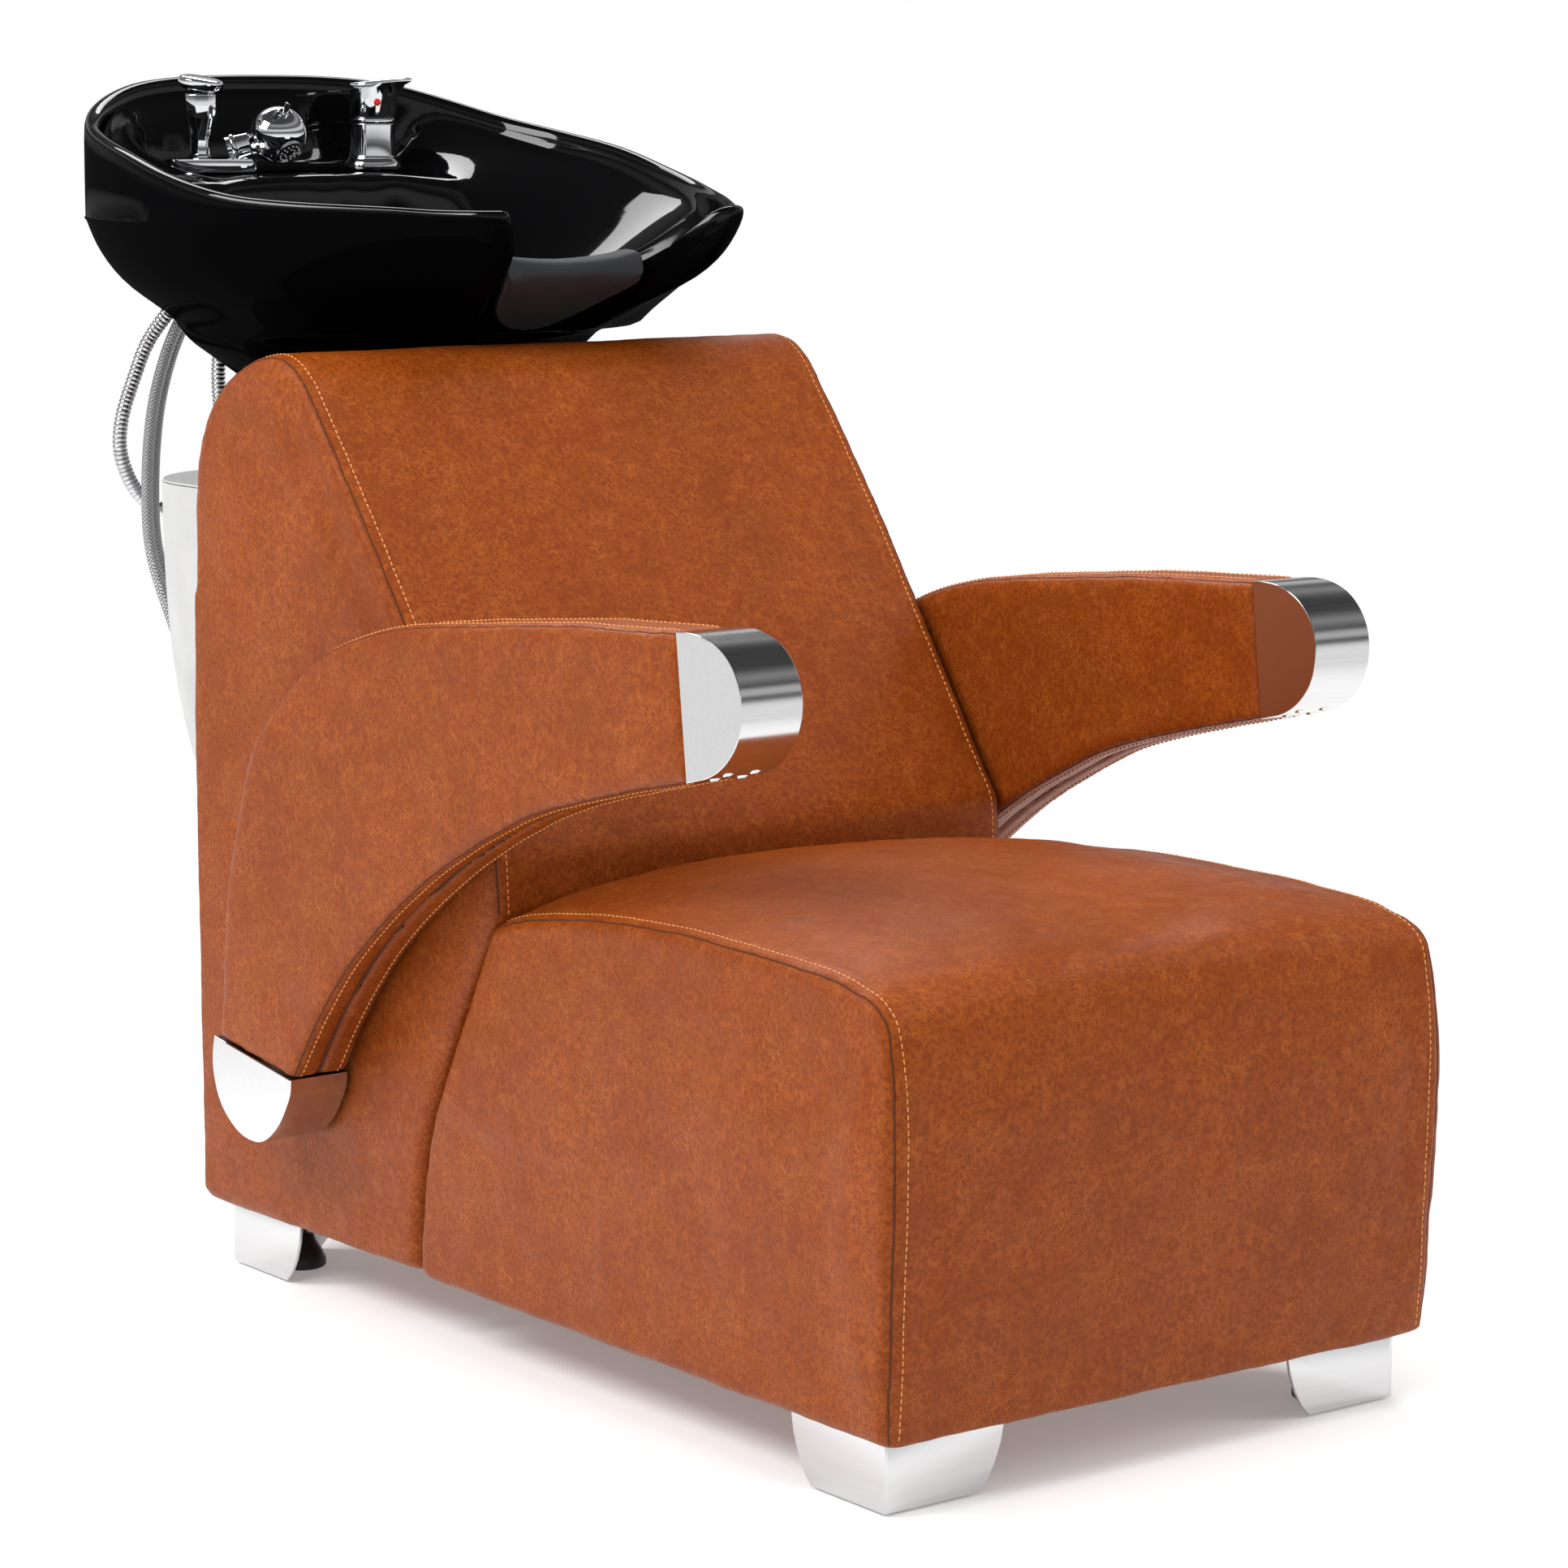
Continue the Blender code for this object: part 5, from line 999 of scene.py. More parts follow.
def arm_leather(side, sign, place):
    top = from_pivot([tuple(p) for p in spline(ARM_TOP, 6)])
    under = from_pivot([tuple(p) for p in spline(ARM_UNDER, 6)])
    rows = both_faces(ARM_ROUNDING, between=(0.012, 0.022, 0.036, 0.046))
    rings = [section(top + under, sign * x, inset) for x, inset in rows]
    ob = block("armrest_leather_" + side, rings, place, 0.0048, smooth=2)
    swell_arm(ob, place)
    refine(ob)

    def line_at(x, outline):
        return [place @ Vector((sign * x, y, z)) for y, z in outline]

    faces = (("inner", ARM_SEAM, ARM_TWIN), ("outer", ARM_T - ARM_SEAM, ARM_T - ARM_TWIN))
    edges = [densify(line_at(x, top), 0.003) for _, x, _ in faces]
    slot = line_at(ARM_T / 2, under)
    groove(ob, edges, depth=0.0022, width=0.0032)
    groove(ob, [densify(slot, 0.003)], depth=0.0040, width=0.0035)
    wrinkle(ob, 0.0007, 22.0, 41.0 + sign)
    finish_piece(ob, "armrest_" + side)
    for tag, x, twin in faces:
        seam("arm_seam_%s_%s" % (tag, side), ob, line_at(x, top), line_at(twin, top),
             cord=0.0009, step=0.003)
    for tag, x, _ in faces:
        seam("arm_low_seam_%s_%s" % (tag, side), ob, line_at(x, under), cord=0.0009, step=0.003)
    seam("arm_slot_" + side, ob, slot, cord=0.0018, step=0.003)
    tree = surface_of(ob)
    for k, (_, _, x) in enumerate(faces):
        line = on_surface(tree, line_at(x, under), 0.003)
        detail(stitches("arm_under_stitch_%s_%d" % (side, k), line))


def arm_cap(name, points, sign, place):
    """A hollow metal cap, open towards the leather."""
    outline = from_pivot(points)
    first, last = Vector(outline[0]), Vector(outline[-1])
    along = (last - first).normalized()
    out = Vector((along.y, -along.x))
    middle = sum((Vector(p) for p in outline), Vector((0, 0))) / len(outline)
    if (middle - first).dot(out) < 0:
        out = -out
    shell = [tuple(p) for p in spline(outline, 4)]
    hollow_from = -out * 0.006
    for k in (0, -1):
        shell[k] = tuple(Vector(shell[k]) + out * 0.0005)
    ob = mesh_object("v_" + name, loft([section(shell, sign * x, inset) for x, inset
                                        in both_faces(CAP_ROUNDING)]), "stainless_arm")
    hollow = inset_outline(shell, CAP_WALL)
    for k in (0, -1):
        hollow[k] = tuple(Vector(hollow[k]) + hollow_from)
    boolean(ob, loft([section(hollow, sign * x) for x in (CAP_WALL, ARM_T - CAP_WALL)]))
    apply_mods(ob)
    ob.data.transform(place)
    ob.data.set_sharp_from_angle(angle=math.radians(19))
    finish_piece(ob, name)


def arm_cap_screws(side, sign, place):
    """Four screw heads under the front cap."""
    outline = [Vector(p) for p in from_pivot(CAP_FRONT)]
    middle = sum(outline, Vector((0, 0))) / len(outline)
    a, b = outline[-1], outline[-4]
    along = (b - a).normalized()
    bm = bmesh.new()
    for x in (0.016, ARM_T - 0.016):
        for t in (0.36, 0.72):
            at = a.lerp(b, t)
            normal = Vector((-along.y, along.x))
            if (middle - at).dot(normal) > 0:
                normal = -normal
            merge(bm, lathe(SCREW_HEAD, 64, (sign * x, at.x, at.y), (0, normal.x, normal.y)))
    screws = mesh_object("arm_cap_screws_" + side, bm, "chrome")
    screws.data.transform(place)
    detail(screws, slot="stainless")


def arms():
    for side, sign in SIDES:
        place = (Matrix.Translation((sign * ARM_INNER_X, ARM_PIVOT_Y + ROW_SHIFT_Y, 0.0))
                 @ Matrix.Rotation(-sign * ARM_TOE, 4, "Z"))
        arm_leather(side, sign, place)
        arm_cap("arm_cap_front_" + side, CAP_FRONT, sign, place)
        arm_cap_screws(side, sign, place)
        arm_cap("arm_cap_rear_" + side, CAP_REAR, sign, place)


# ------------------------------------------------------------------- hoses
DRAIN = (0.0, 0.448)
# hose lines from the tap deck down, (x, y, z)
SPRAY_HOSE = [
    (-0.1200, 0.5720, 0.9050), (-0.1400, 0.5740, 0.8620), (-0.1650, 0.5970, 0.8150),
    (-0.1780, 0.6040, 0.7800), (-0.1910, 0.6080, 0.7380), (-0.1890, 0.6130, 0.7030),
    (-0.1710, 0.6140, 0.6680), (-0.1430, 0.6100, 0.6520), (-0.1130, 0.5920, 0.6640),
    (-0.1020, 0.5780, 0.7150), (-0.1090, 0.5680, 0.7850), (-0.1000, 0.5680, 0.8600),
    (-0.0900, 0.5700, 0.9050)]
SUPPLY_HOSE = [
    (-0.1020, 0.5840, 0.9050), (-0.1200, 0.5830, 0.8640), (-0.1460, 0.5830, 0.8240),
    (-0.1590, 0.5860, 0.7900), (-0.1690, 0.5880, 0.7500), (-0.1760, 0.5880, 0.6900),
    (-0.1760, 0.5860, 0.6200), (-0.1610, 0.5790, 0.5600), (-0.1440, 0.5680, 0.5000),
    (-0.1290, 0.5480, 0.4400), (-0.1230, 0.5200, 0.3900)]
DRAIN_HOSE = [(0.0, 0.6975), (0.0, 0.6600), (-0.004, 0.6000), (-0.020, 0.5300),
              (-0.045, 0.4600)]  # y from the drain, z


def soft_path(path, step):
    """The path at a fine step in the row frame, with its corners softened."""
    points = [Vector(p) + SHIFT for p in path]
    fine = [points[0]]
    for a, b in zip(points, points[1:]):
        count = max(1, int(round((b - a).length / step)))
        fine += [a.lerp(b, k / count) for k in range(1, count + 1)]
    for _ in range(30):
        fine = [fine[0]] + [(a + b * 2 + c) / 4 for a, b, c in zip(fine, fine[1:], fine[2:])] \
            + [fine[-1]]
    return fine


def tube(name, path, radius, finish, sides, pitch=None, depth=0.0, step=0.0009):
    """A hose with its length and turn as UV; pitch and depth give a ribbed skin."""
    fine = soft_path(path, step)
    total = 0.0
    rings, lengths = [], []
    side = None
    for i, p in enumerate(fine):
        tangent = (fine[min(i + 1, len(fine) - 1)] - fine[max(i - 1, 0)]).normalized()
        if i:
            total += (p - fine[i - 1]).length
        if side is None:
            side = tangent.orthogonal().normalized()
        side = (side - tangent * side.dot(tangent)).normalized()
        up = tangent.cross(side)
        here = radius
        if pitch:
            phase = (total / pitch) % 1.0
            dip = 1.0 if phase < 0.16 or phase > 0.90 else 0.25 if phase < 0.30 else 0.0
            here = radius - depth * dip
        rings.append([p + (side * cos + up * sin) * here for cos, sin in circle(sides)])
        lengths.append(total)
    bm = loft(rings)
    uv = bm.loops.layers.uv.new("UVMap")
    for number, face in enumerate(list(bm.faces)[:-2]):
        i, k = divmod(number, sides)
        corners = ((i, k), (i, k + 1), (i + 1, k + 1), (i + 1, k))
        for loop, (row, turn) in zip(face.loops, corners):
            loop[uv].uv = (lengths[row], turn / sides)
    return mesh_object(name, bm, finish, 60)


def finish_hose(ob, node):
    """Bakes the hose's placement into its mesh and hides the CAD node that it replaces."""
    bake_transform(ob)
    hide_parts(node)


def ferrule(name, low, high, radius):
    """A turned end sleeve on a hose, with a groove round it."""
    low, high = Vector(low) + SHIFT, Vector(high) + SHIFT
    length = (high - low).length
    waist = radius - 0.0007
    profile = [(radius - 0.0008, 0.0), (radius, 0.0008), (radius, length * 0.30),
               (waist, length * 0.34), (waist, length * 0.42), (radius, length * 0.46),
               (radius, length - 0.0010), (radius - 0.0010, length)]
    detail(mesh_object(name, lathe(profile, 64, low, high - low), "chrome"), slot="chrome")


def hoses():
    ob = tube("spray_hose_metal", spline(SPRAY_HOSE, 8), 0.0068, "interlock", sides=24,
              pitch=0.0042, depth=0.00075)
    finish_piece(ob, "spray_hose")
    for name, dx, dy in (("supply_hose_hot", 0.0, 0.0), ("supply_hose_cold", 0.0118, 0.0088)):
        path = spline([(x + dx, y + dy, z) for x, y, z in SUPPLY_HOSE], 8)
        ob = tube(name + "_braided", path, 0.0055, "braid", sides=20, step=0.004)
        finish_hose(ob, name)
        ferrule(name + "_ferrule", path[-1], path[-3], radius=0.0064)
    path = spline([(DRAIN[0], DRAIN[1] + dy, z) for dy, z in DRAIN_HOSE], 8)
    ob = tube("drain_hose_ribbed", path, 0.0185, "pvc", sides=28, pitch=0.0060, depth=0.0016,
              step=0.0012)
    finish_hose(ob, "drain_hose")


# ------------------------------------------------------------------- feet
FITTINGS = {}  # node name: object still to be baked, in the design frame


def fitting(name, bm, finish):
    FITTINGS[name] = mesh_object("v_" + name, bm, finish)
    return FITTINGS[name]


FOOT_X = 0.261
GLIDE_X = 0.2175
FOOT_SHEET = 0.003
# corner, sign of X, sign of Y, foot y, glide y
CORNERS = [("front_left", -1.0, -1.0, -0.6375, -0.5975),
           ("front_right", 1.0, -1.0, -0.6375, -0.5975),
           ("rear_left", -1.0, 1.0, 0.3065, 0.2610),
           ("rear_right", 1.0, 1.0, 0.3065, 0.2610)]
# a foot's upright wing, (distance from the corner, z), and its plate, (x, y) from the corner
FOOT_WING = [(0.0, 0.0025), (0.090, 0.0025), (0.0985, 0.0110), (0.1060, 0.0240),
             (0.1120, 0.0400), (0.1150, 0.0563), (0.0, 0.0563)]
FOOT_PLATE = [(0.0004, 0.0004), (0.100, 0.0004), (0.0004, 0.100)]
GLIDE = [(0.0190, 0.0), (0.0212, 0.0020), (0.0212, 0.0075), (0.0175, 0.0160),
         (0.0125, 0.0240), (0.0105, 0.0290), (0.0055, 0.0305), (0.0055, 0.0750)]  # radius, z


def feet():
    """Corner feet: a wing across X, a wing along Y and a plate on top, on round glides."""
    for name, sx, sy, y, glide_y in CORNERS:
        x = sx * FOOT_X
        ob = fitting("foot_" + name, loft([[(x - sx * u, y - sy * depth, z) for u, z in FOOT_WING]
                                           for depth in (0.0, FOOT_SHEET)]), "stainless")
        boolean(ob, loft([[(x - sx * depth, y - sy * u, z) for u, z in FOOT_WING]
                          for depth in (0.0, FOOT_SHEET)]), "UNION")
        boolean(ob, loft([[(x - sx * u, y - sy * v, z) for u, v in FOOT_PLATE]
                          for z in (0.0535, 0.0562)]), "UNION")
        boolean(ob, lathe([(0.0066, 0.04), (0.0066, 0.08)], 64, (sx * GLIDE_X, glide_y, 0.0)))
    for name, sx, _, _, glide_y in CORNERS:
        fitting("glide_" + name, lathe(GLIDE, 80, (sx * GLIDE_X, glide_y, 0.0)), "black_plastic")


# ------------------------------------------------------------------- basin
DECK_Z = 0.968  # tap deck at the back of the basin
TAP_AT = (0.092, 0.6105, 0.0)
BREAKER_AT = (-0.0995, 0.6095, 0.0)
LEDGE_Z = 0.929  # ledge between the band under the rim and the belly
BELLY_TOP_Z = 0.8290
UNDERSIDE_Z = 0.7620
WASTE_Z = 0.7860  # bottom of the bowl
WASTE_R = 0.031
RIM_REAR_Y = 0.6836
BASIN_HALF = 0.277
# half of the full-size plan, (x, y) from the front centre round to the rear centre
HALF_PLAN = [(0.0, 0.1150), (0.040, 0.1150), (0.075, 0.1140), (0.092, 0.1105), (0.1015, 0.0980),
             (0.1090, 0.0790), (0.1215, 0.0630), (0.1360, 0.0650), (0.1475, 0.0770),
             (0.1560, 0.0930), (0.1850, 0.1400), (0.2210, 0.2000), (0.2490, 0.2550),
             (0.2680, 0.3060), (0.2760, 0.3600), (BASIN_HALF, 0.4200), (0.2700, 0.4800),
             (0.2560, 0.5400), (0.2390, 0.5820), (0.2120, 0.6220), (0.1770, 0.6510),
             (0.1320, 0.6710), (0.0720, 0.6815), (0.0, RIM_REAR_Y)]
PLAN_SPANS = [4, 3, 3, 4, 4, 4, 3, 3] + [2] * 15
LOBE_TIP = sum(PLAN_SPANS[:7])  # plan points from the centre out to a front lobe's tip
# rim height by y, and by |x| in the neck notch
RIM_Z = [(0.060, 0.9450), (0.150, 0.9475), (0.263, 0.9530), (0.360, 0.9700), (0.454, 0.9925),
         (0.530, 1.0060), (0.592, 1.0190), (0.640, 1.0370), (0.670, 1.0530),
         (RIM_REAR_Y, 1.0593)]
NOTCH_Z = [(0.0, 0.8850), (0.070, 0.8860), (0.085, 0.8900), (0.096, 0.8980), (0.103, 0.9100),
           (0.109, 0.9270), (0.116, 0.9400), (0.124, 0.9450)]
# the front lobes by z: share of x taken in, shift to the rear
LOBE_X = [(0.829, 0.380), (0.842, 0.290), (0.863, 0.165), (0.8756, 0.115), (0.888, 0.105),
          (0.900, 0.100), (0.916, 0.080), (0.930, 0.055), (0.9395, 0.035), (1.10, 0.035)]
LOBE_Y = [(0.829, 0.066), (0.842, 0.055), (0.863, 0.037), (0.8756, 0.021), (0.888, 0.010),
          (0.900, 0.003), (0.910, 0.0), (1.10, 0.0)]
# scale of the plan by z, about (0, TAPER_Y)
TAPER = [(0.762, 0.385), (0.766, 0.440), (0.776, 0.515), (0.799, 0.610), (0.815, 0.690),
         (0.841, 0.753), (0.854, 0.818), (0.872, 0.896), (0.890, 0.940), (0.905, 0.970),
         (0.918, 0.988), (0.929, 1.0), (1.10, 1.0)]
TAPER_Y = 0.385
# underside: z, front y
BELLY = [(0.7620, 0.392), (0.7660, 0.384), (0.7760, 0.372), (0.7990, 0.357), (0.8140, 0.347),
         (0.8240, 0.325)]
RIM_ROWS = [(0.9955, 0.0018), (0.986, 0.0), (0.966, 0.0), (0.953, 0.0028),
            (0.946, 0.0100)]  # scale about RIM_CENTRE, drop below the rim
RIM_CENTRE = Vector((0.0, 0.360))
# by the angle round the drain in degrees, 0 at the back and 180 at the neck:
# the deck's inner edge, its height, its width short of the rim, and how far a column has a deck
DECK_EDGE = [(0, 0.080), (30, 0.0925), (50, 0.123), (70, 0.160), (86, 0.184), (100, 0.196),
             (130, 0.205), (180, 0.215)]
DECK_EDGE_Z = [(0, 0.9622), (30, 0.9618), (50, 0.9580), (65, 0.9510), (80, 0.9420),
               (95, 0.9250), (120, 0.8950), (180, 0.8700)]
DECK_FOOT = [(0, 0.008), (60, 0.010), (85, 0.022), (100, 0.030), (180, 0.030)]
DECK_SHARE = [(0, 1.0), (72, 1.0), (104, 0.0), (180, 0.0)]
# plain bowl wall: share of the reach, share of the height
WALL = [(0.45, 0.13), (0.58, 0.25), (0.68, 0.38), (0.76, 0.50), (0.83, 0.62), (0.885, 0.72),
        (0.925, 0.80), (0.955, 0.87), (0.982, 0.935)]
BOWL_FLOOR = [(0.340, 0.8520), (0.395, 0.7870)]  # y, lowest z towards the neck
# pocket under the deck: z, half width, front y, rear y
POCKET = [(0.780, 0.160, 0.553, 0.607), (0.860, 0.156, 0.554, 0.610),
          (0.900, 0.148, 0.555, 0.636), (0.930, 0.140, 0.556, 0.638),
          (0.9545, 0.130, 0.557, 0.637)]


def plan_outline():
    """The basin's full-size plan, from the front centre round by +X."""
    ends = [Vector((-x, y)) for x, y in (HALF_PLAN[1], HALF_PLAN[-2])]
    half = spline(HALF_PLAN, PLAN_SPANS, ends)
    return half + [Vector((-p.x, p.y)) for p in reversed(half[1:-1])]


PLAN = plan_outline()


def rim_height(p):
    z = smooth_table(p.y, RIM_Z)
    if p.y < 0.13:
        z = min(z, smooth_table(abs(p.x), NOTCH_Z))
    return z


def hull(p, z):
    """Outer face of the basin at height z, for a point p of the full-size plan."""
    scale = smooth_table(z, TAPER)
    x, y = p.x * scale, TAPER_Y + (p.y - TAPER_Y) * scale
    front = float(fall(y, below=0.30, over=0.20))
    return x * (1 - smooth_table(z, LOBE_X) * front), y + smooth_table(z, LOBE_Y) * front


def belly_ring(z, front):
    """Underside: the hull's own plan behind, drawn in to `front` under the neck."""
    scale = smooth_table(z, TAPER)
    ring = []
    for p in PLAN:
        if p.y >= TAPER_Y:
            ring.append((p.x * scale, TAPER_Y + (p.y - TAPER_Y) * scale, z))
        else:
            angle = math.atan2((TAPER_Y - p.y) / 0.27, abs(p.x) / BASIN_HALF)
            ring.append((math.copysign(BASIN_HALF * scale * math.cos(angle), p.x),
                         TAPER_Y - (TAPER_Y - front) * math.sin(angle), z))
    return ring


def outer_rings(rim):
    """The outside, from the underside up and over the rim."""
    levels = [[BELLY_TOP_Z] * len(PLAN)]
    for t in (0.10, 0.24, 0.40, 0.58, 0.76, 0.90):
        levels.append([BELLY_TOP_Z + (min(r, LEDGE_Z) - 0.010 - BELLY_TOP_Z) * t for r in rim])
    levels.append([min(r - 0.008, LEDGE_Z) for r in rim])
    levels.append([r - 0.0060 for r in rim])
    rings = [belly_ring(z, front) for z, front in BELLY]
    rings += [[(*hull(p, z), z) for p, z in zip(PLAN, row)] for row in levels]
    for scale, drop in RIM_ROWS:
        ring = []
        for p, r in zip(PLAN, rim):
            q = RIM_CENTRE + (Vector(hull(p, r - 0.006)) - RIM_CENTRE) * scale
            ring.append((q.x, q.y, r - drop))
        rings.append(ring)
    return rings


def inner_column(plan_point, inner, rim):
    """One column of the inside, from the bowl's bottom over any deck to below the rim."""
    drain = Vector(DRAIN)
    out = inner - drain
    reach = out.length
    angle = math.degrees(math.atan2(abs(out.x), out.y))
    top_z = rim - 0.010
    wall_top = min(smooth_table(inner.y, RIM_Z) - 0.010, max(top_z, 0.8565))
    edge = smooth_table(angle, DECK_EDGE)
    edge_z = smooth_table(angle, DECK_EDGE_Z)
    foot = reach - smooth_table(angle, DECK_FOOT)
    deck = [(edge * 0.60, 0.7895), (edge * 0.84, 0.8300), (edge * 0.95, 0.9050),
            (edge - 0.001, edge_z - 0.010), (edge + 0.006, edge_z + 0.0040),
            (edge + 0.014, edge_z + 0.0056), (foot - 0.007, edge_z + 0.0058),
            (foot, edge_z + 0.0095), (foot + 0.0045, edge_z + 0.0240),
            (reach - 0.0015, (top_z + edge_z) / 2 + 0.012)]
    wall = [(min(reach * 0.30, 0.052), 0.018)] + [(reach * share, up) for share, up in WALL]
    deck_share = smooth_table(angle, DECK_SHARE)
    column = []
    for (deck_r, deck_z), (wall_r, up) in zip(deck, wall):
        wall_z = WASTE_Z + (wall_top - WASTE_Z) * up
        radius = deck_r * deck_share + wall_r * (1 - deck_share)
        z = deck_z * deck_share + wall_z * (1 - deck_share)
        q = drain + out / reach * radius
        floor = smooth_table(q.y, BOWL_FLOOR)
        z = max(z, min(floor, top_z - 0.001) if angle > 100 else floor)
        if angle > 100 and z > 0.830:
            # the wall keeps its thickness where the outside slopes away under the neck
            outside = (Vector(hull(plan_point, z)) - drain).length
            q = drain + out / reach * min(radius, outside - 0.0110)
        column.append((q.x, q.y, z))
    return column


def pocket_ring(z, half, y0, y1):
    """A rounded rectangle across the basin."""
    centre, depth = (y0 + y1) / 2, (y1 - y0) / 2
    ring = []
    for k in range(24):
        angle = 2 * math.pi * (k + 0.5) / 24
        cos, sin = math.cos(angle), math.sin(angle)
        ring.append((math.copysign(half, cos) * abs(cos) ** 0.35,
                     centre + math.copysign(depth, sin) * abs(sin) ** 0.35, z))
    return ring


def basin():
    rim = [rim_height(p) for p in PLAN]
    rings = outer_rings(rim)
    inner = [Vector(p[:2]) for p in rings[-1]]
    columns = [inner_column(*parts) for parts in zip(PLAN, inner, rim)]
    rings += [list(row) for row in reversed(list(zip(*columns)))]
    # waste hole, straight down to the underside
    angles = [math.atan2(p.y - Vector(DRAIN).y, p.x) for p in inner]
    hole = [(WASTE_R * math.cos(a), Vector(DRAIN).y + WASTE_R * math.sin(a)) for a in angles]
    waste_top, waste_low = ([(x, y, z) for x, y in hole] for z in (WASTE_Z, UNDERSIDE_Z))
    bowl = fitting("bowl", loft([waste_low] + rings + [waste_top], looped=True), "ceramic")
    boolean(bowl, loft([pocket_ring(*row) for row in POCKET]))
    for at in (TAP_AT, BREAKER_AT):
        boolean(bowl, lathe([(0.0125, 0.950), (0.0125, 0.990)], 96, at))


def crease_ledge(mesh):
    """Keeps the ledge crisp behind, fading out to the front."""
    crease = mesh.attributes.new("crease_edge", "FLOAT", "EDGE")
    for edge in mesh.edges:
        a, b = (mesh.vertices[i].co for i in edge.vertices)
        if abs(a.z - LEDGE_Z) < 2e-4 and abs(b.z - LEDGE_Z) < 2e-4:
            crease.data[edge.index].value = float(rise(0.5 * (a.y + b.y), above=0.27, over=0.16))


def soften_bowl(mesh):
    """The bowl's inside runs smoothly from the tap deck into the wall."""
    co = read_vectors(mesh)
    normals = read_vectors(mesh, "normal")
    x, y, z = np.abs(co[:, 0]), co[:, 1], co[:, 2]
    rim = np.array([smooth_table(v - ROW_SHIFT_Y, RIM_Z) for v in y])
    inward = ((co[:, :2] - np.array((0.0, 0.40))) * normals[:, :2]).sum(1) < -0.02
    inside = (inward | (normals[:, 2] > 0.30)) & (z > 0.800)
    mask = (inside * fall(y, below=0.635, over=0.03) * fall(z, below=rim - 0.020, over=0.016)
            * rise(y, above=0.20, over=0.05))
    mask = mask * np.maximum(rise(x, above=0.130, over=0.022),
                             fall(y, below=0.515, over=0.04) * 0.25)
    relax(mesh, co, mask, rounds=170)
    write_points(mesh, co)


def raise_ledge(mesh):
    """The fine ledge round the outside, fading out to the front."""
    bm = bmesh.new()
    bm.from_mesh(mesh)
    for level in (LEDGE_Z + 0.0018, LEDGE_Z - 0.0028):
        bmesh.ops.bisect_plane(bm, geom=bm.verts[:] + bm.edges[:] + bm.faces[:], dist=1e-6,
                               plane_co=(0, 0, level), plane_no=(0, 0, 1))
    bm.normal_update()
    for v in bm.verts:
        if abs(v.co.z - LEDGE_Z) < 2e-4:
            flat = Vector((v.normal.x, v.normal.y, 0.0))
            if flat.length > 0.5 and flat.dot(Vector((v.co.x, v.co.y - 0.40, 0.0))) > 0:
                v.co += flat.normalized() * (0.0012 * float(rise(v.co.y, above=0.27, over=0.16)))
    bm.to_mesh(mesh)
    bm.free()


def front_line(level=None):
    """The front outer face as (x, y, rim z), centre to lobe tip, at a level or at the rim."""
    out = []
    for p in PLAN[:LOBE_TIP]:
        rim = rim_height(p)
        out.append((*hull(p, rim - 0.006 if level is None else level), rim))
    return out


def front_y(x, z):
    return table(abs(x), [(q[0], q[1]) for q in front_line(z)])


def neck_station(x, half, lip_line):
    """The saddle's (y, z) loop at x: down the flap's inside, up its outside, over the lip."""
    share = abs(x) / half
    lip = table(abs(x), [(q[0], q[2]) for q in lip_line])
    lip_y = table(abs(x), [(q[0], q[1]) for q in lip_line])
    thick = 0.0110 * (1.0 - 0.30 * max(0.0, (share - 0.8) / 0.2) ** 2)
    top = lip + 0.0030 + thick + 0.0050 * share * share
    low = 0.8335 + 0.0460 * share**2.2
    gap = 0.0030 + 0.0022 * share**4
    in_y = 0.360 - 0.925 * (0.360 - lip_y)
    mid_y = (lip_y + in_y) / 2
    bend = lip - 0.0105
    drop = bend - low - 0.0040

    def face_y(z):
        return front_y(x, min(z, lip - 0.006)) - gap

    loop = [(face_y(z), z) for z in (lip - 0.0015, lip - 0.0062, lip - 0.0080, bend,
                                     bend - drop * 0.28, bend - drop * 0.62, low + 0.0040)]
    foot_y = front_y(x, low + 0.004) - gap
    loop += [(foot_y - 0.0025, low), (foot_y - 0.0065, low + 0.0005)]
    for j in range(3):
        z = low + 0.0060 + (lip - 0.004 - low - 0.0060) * j / 2
        loop.append((face_y(z) - thick * (0.75 + 0.25 * j / 2), z))
    return loop + [(lip_y - 0.0030 - thick, top - 0.0065), (lip_y - 0.0005 - thick * 0.5,
                                                            top - 0.0015),
                   (mid_y + 0.002, top), (in_y + 0.006, top - 0.0015),
                   (in_y + 0.0035 + thick, top - 0.0080), (in_y + 0.0035 + thick, lip + 0.0030),
                   (in_y + 0.0030, lip + 0.0022), (mid_y, lip + 0.0024),
                   (lip_y - 0.0010, lip + 0.0022)]


def neck_rest():
    """A soft saddle over the basin's neck notch, with a flap that hangs down outside."""
    half = 0.0735
    lip_line = front_line()
    spots = [-half + 2 * half * k / 36 for k in range(37)]
    rings = [[(x, y, z) for y, z in neck_station(x, half, lip_line)] for x in spots]
    fitting("neck_rest", loft(rings), "neck_rubber")


# ------------------------------------------------------------------- taps
MIXER_Z = DECK_Z + 0.0012
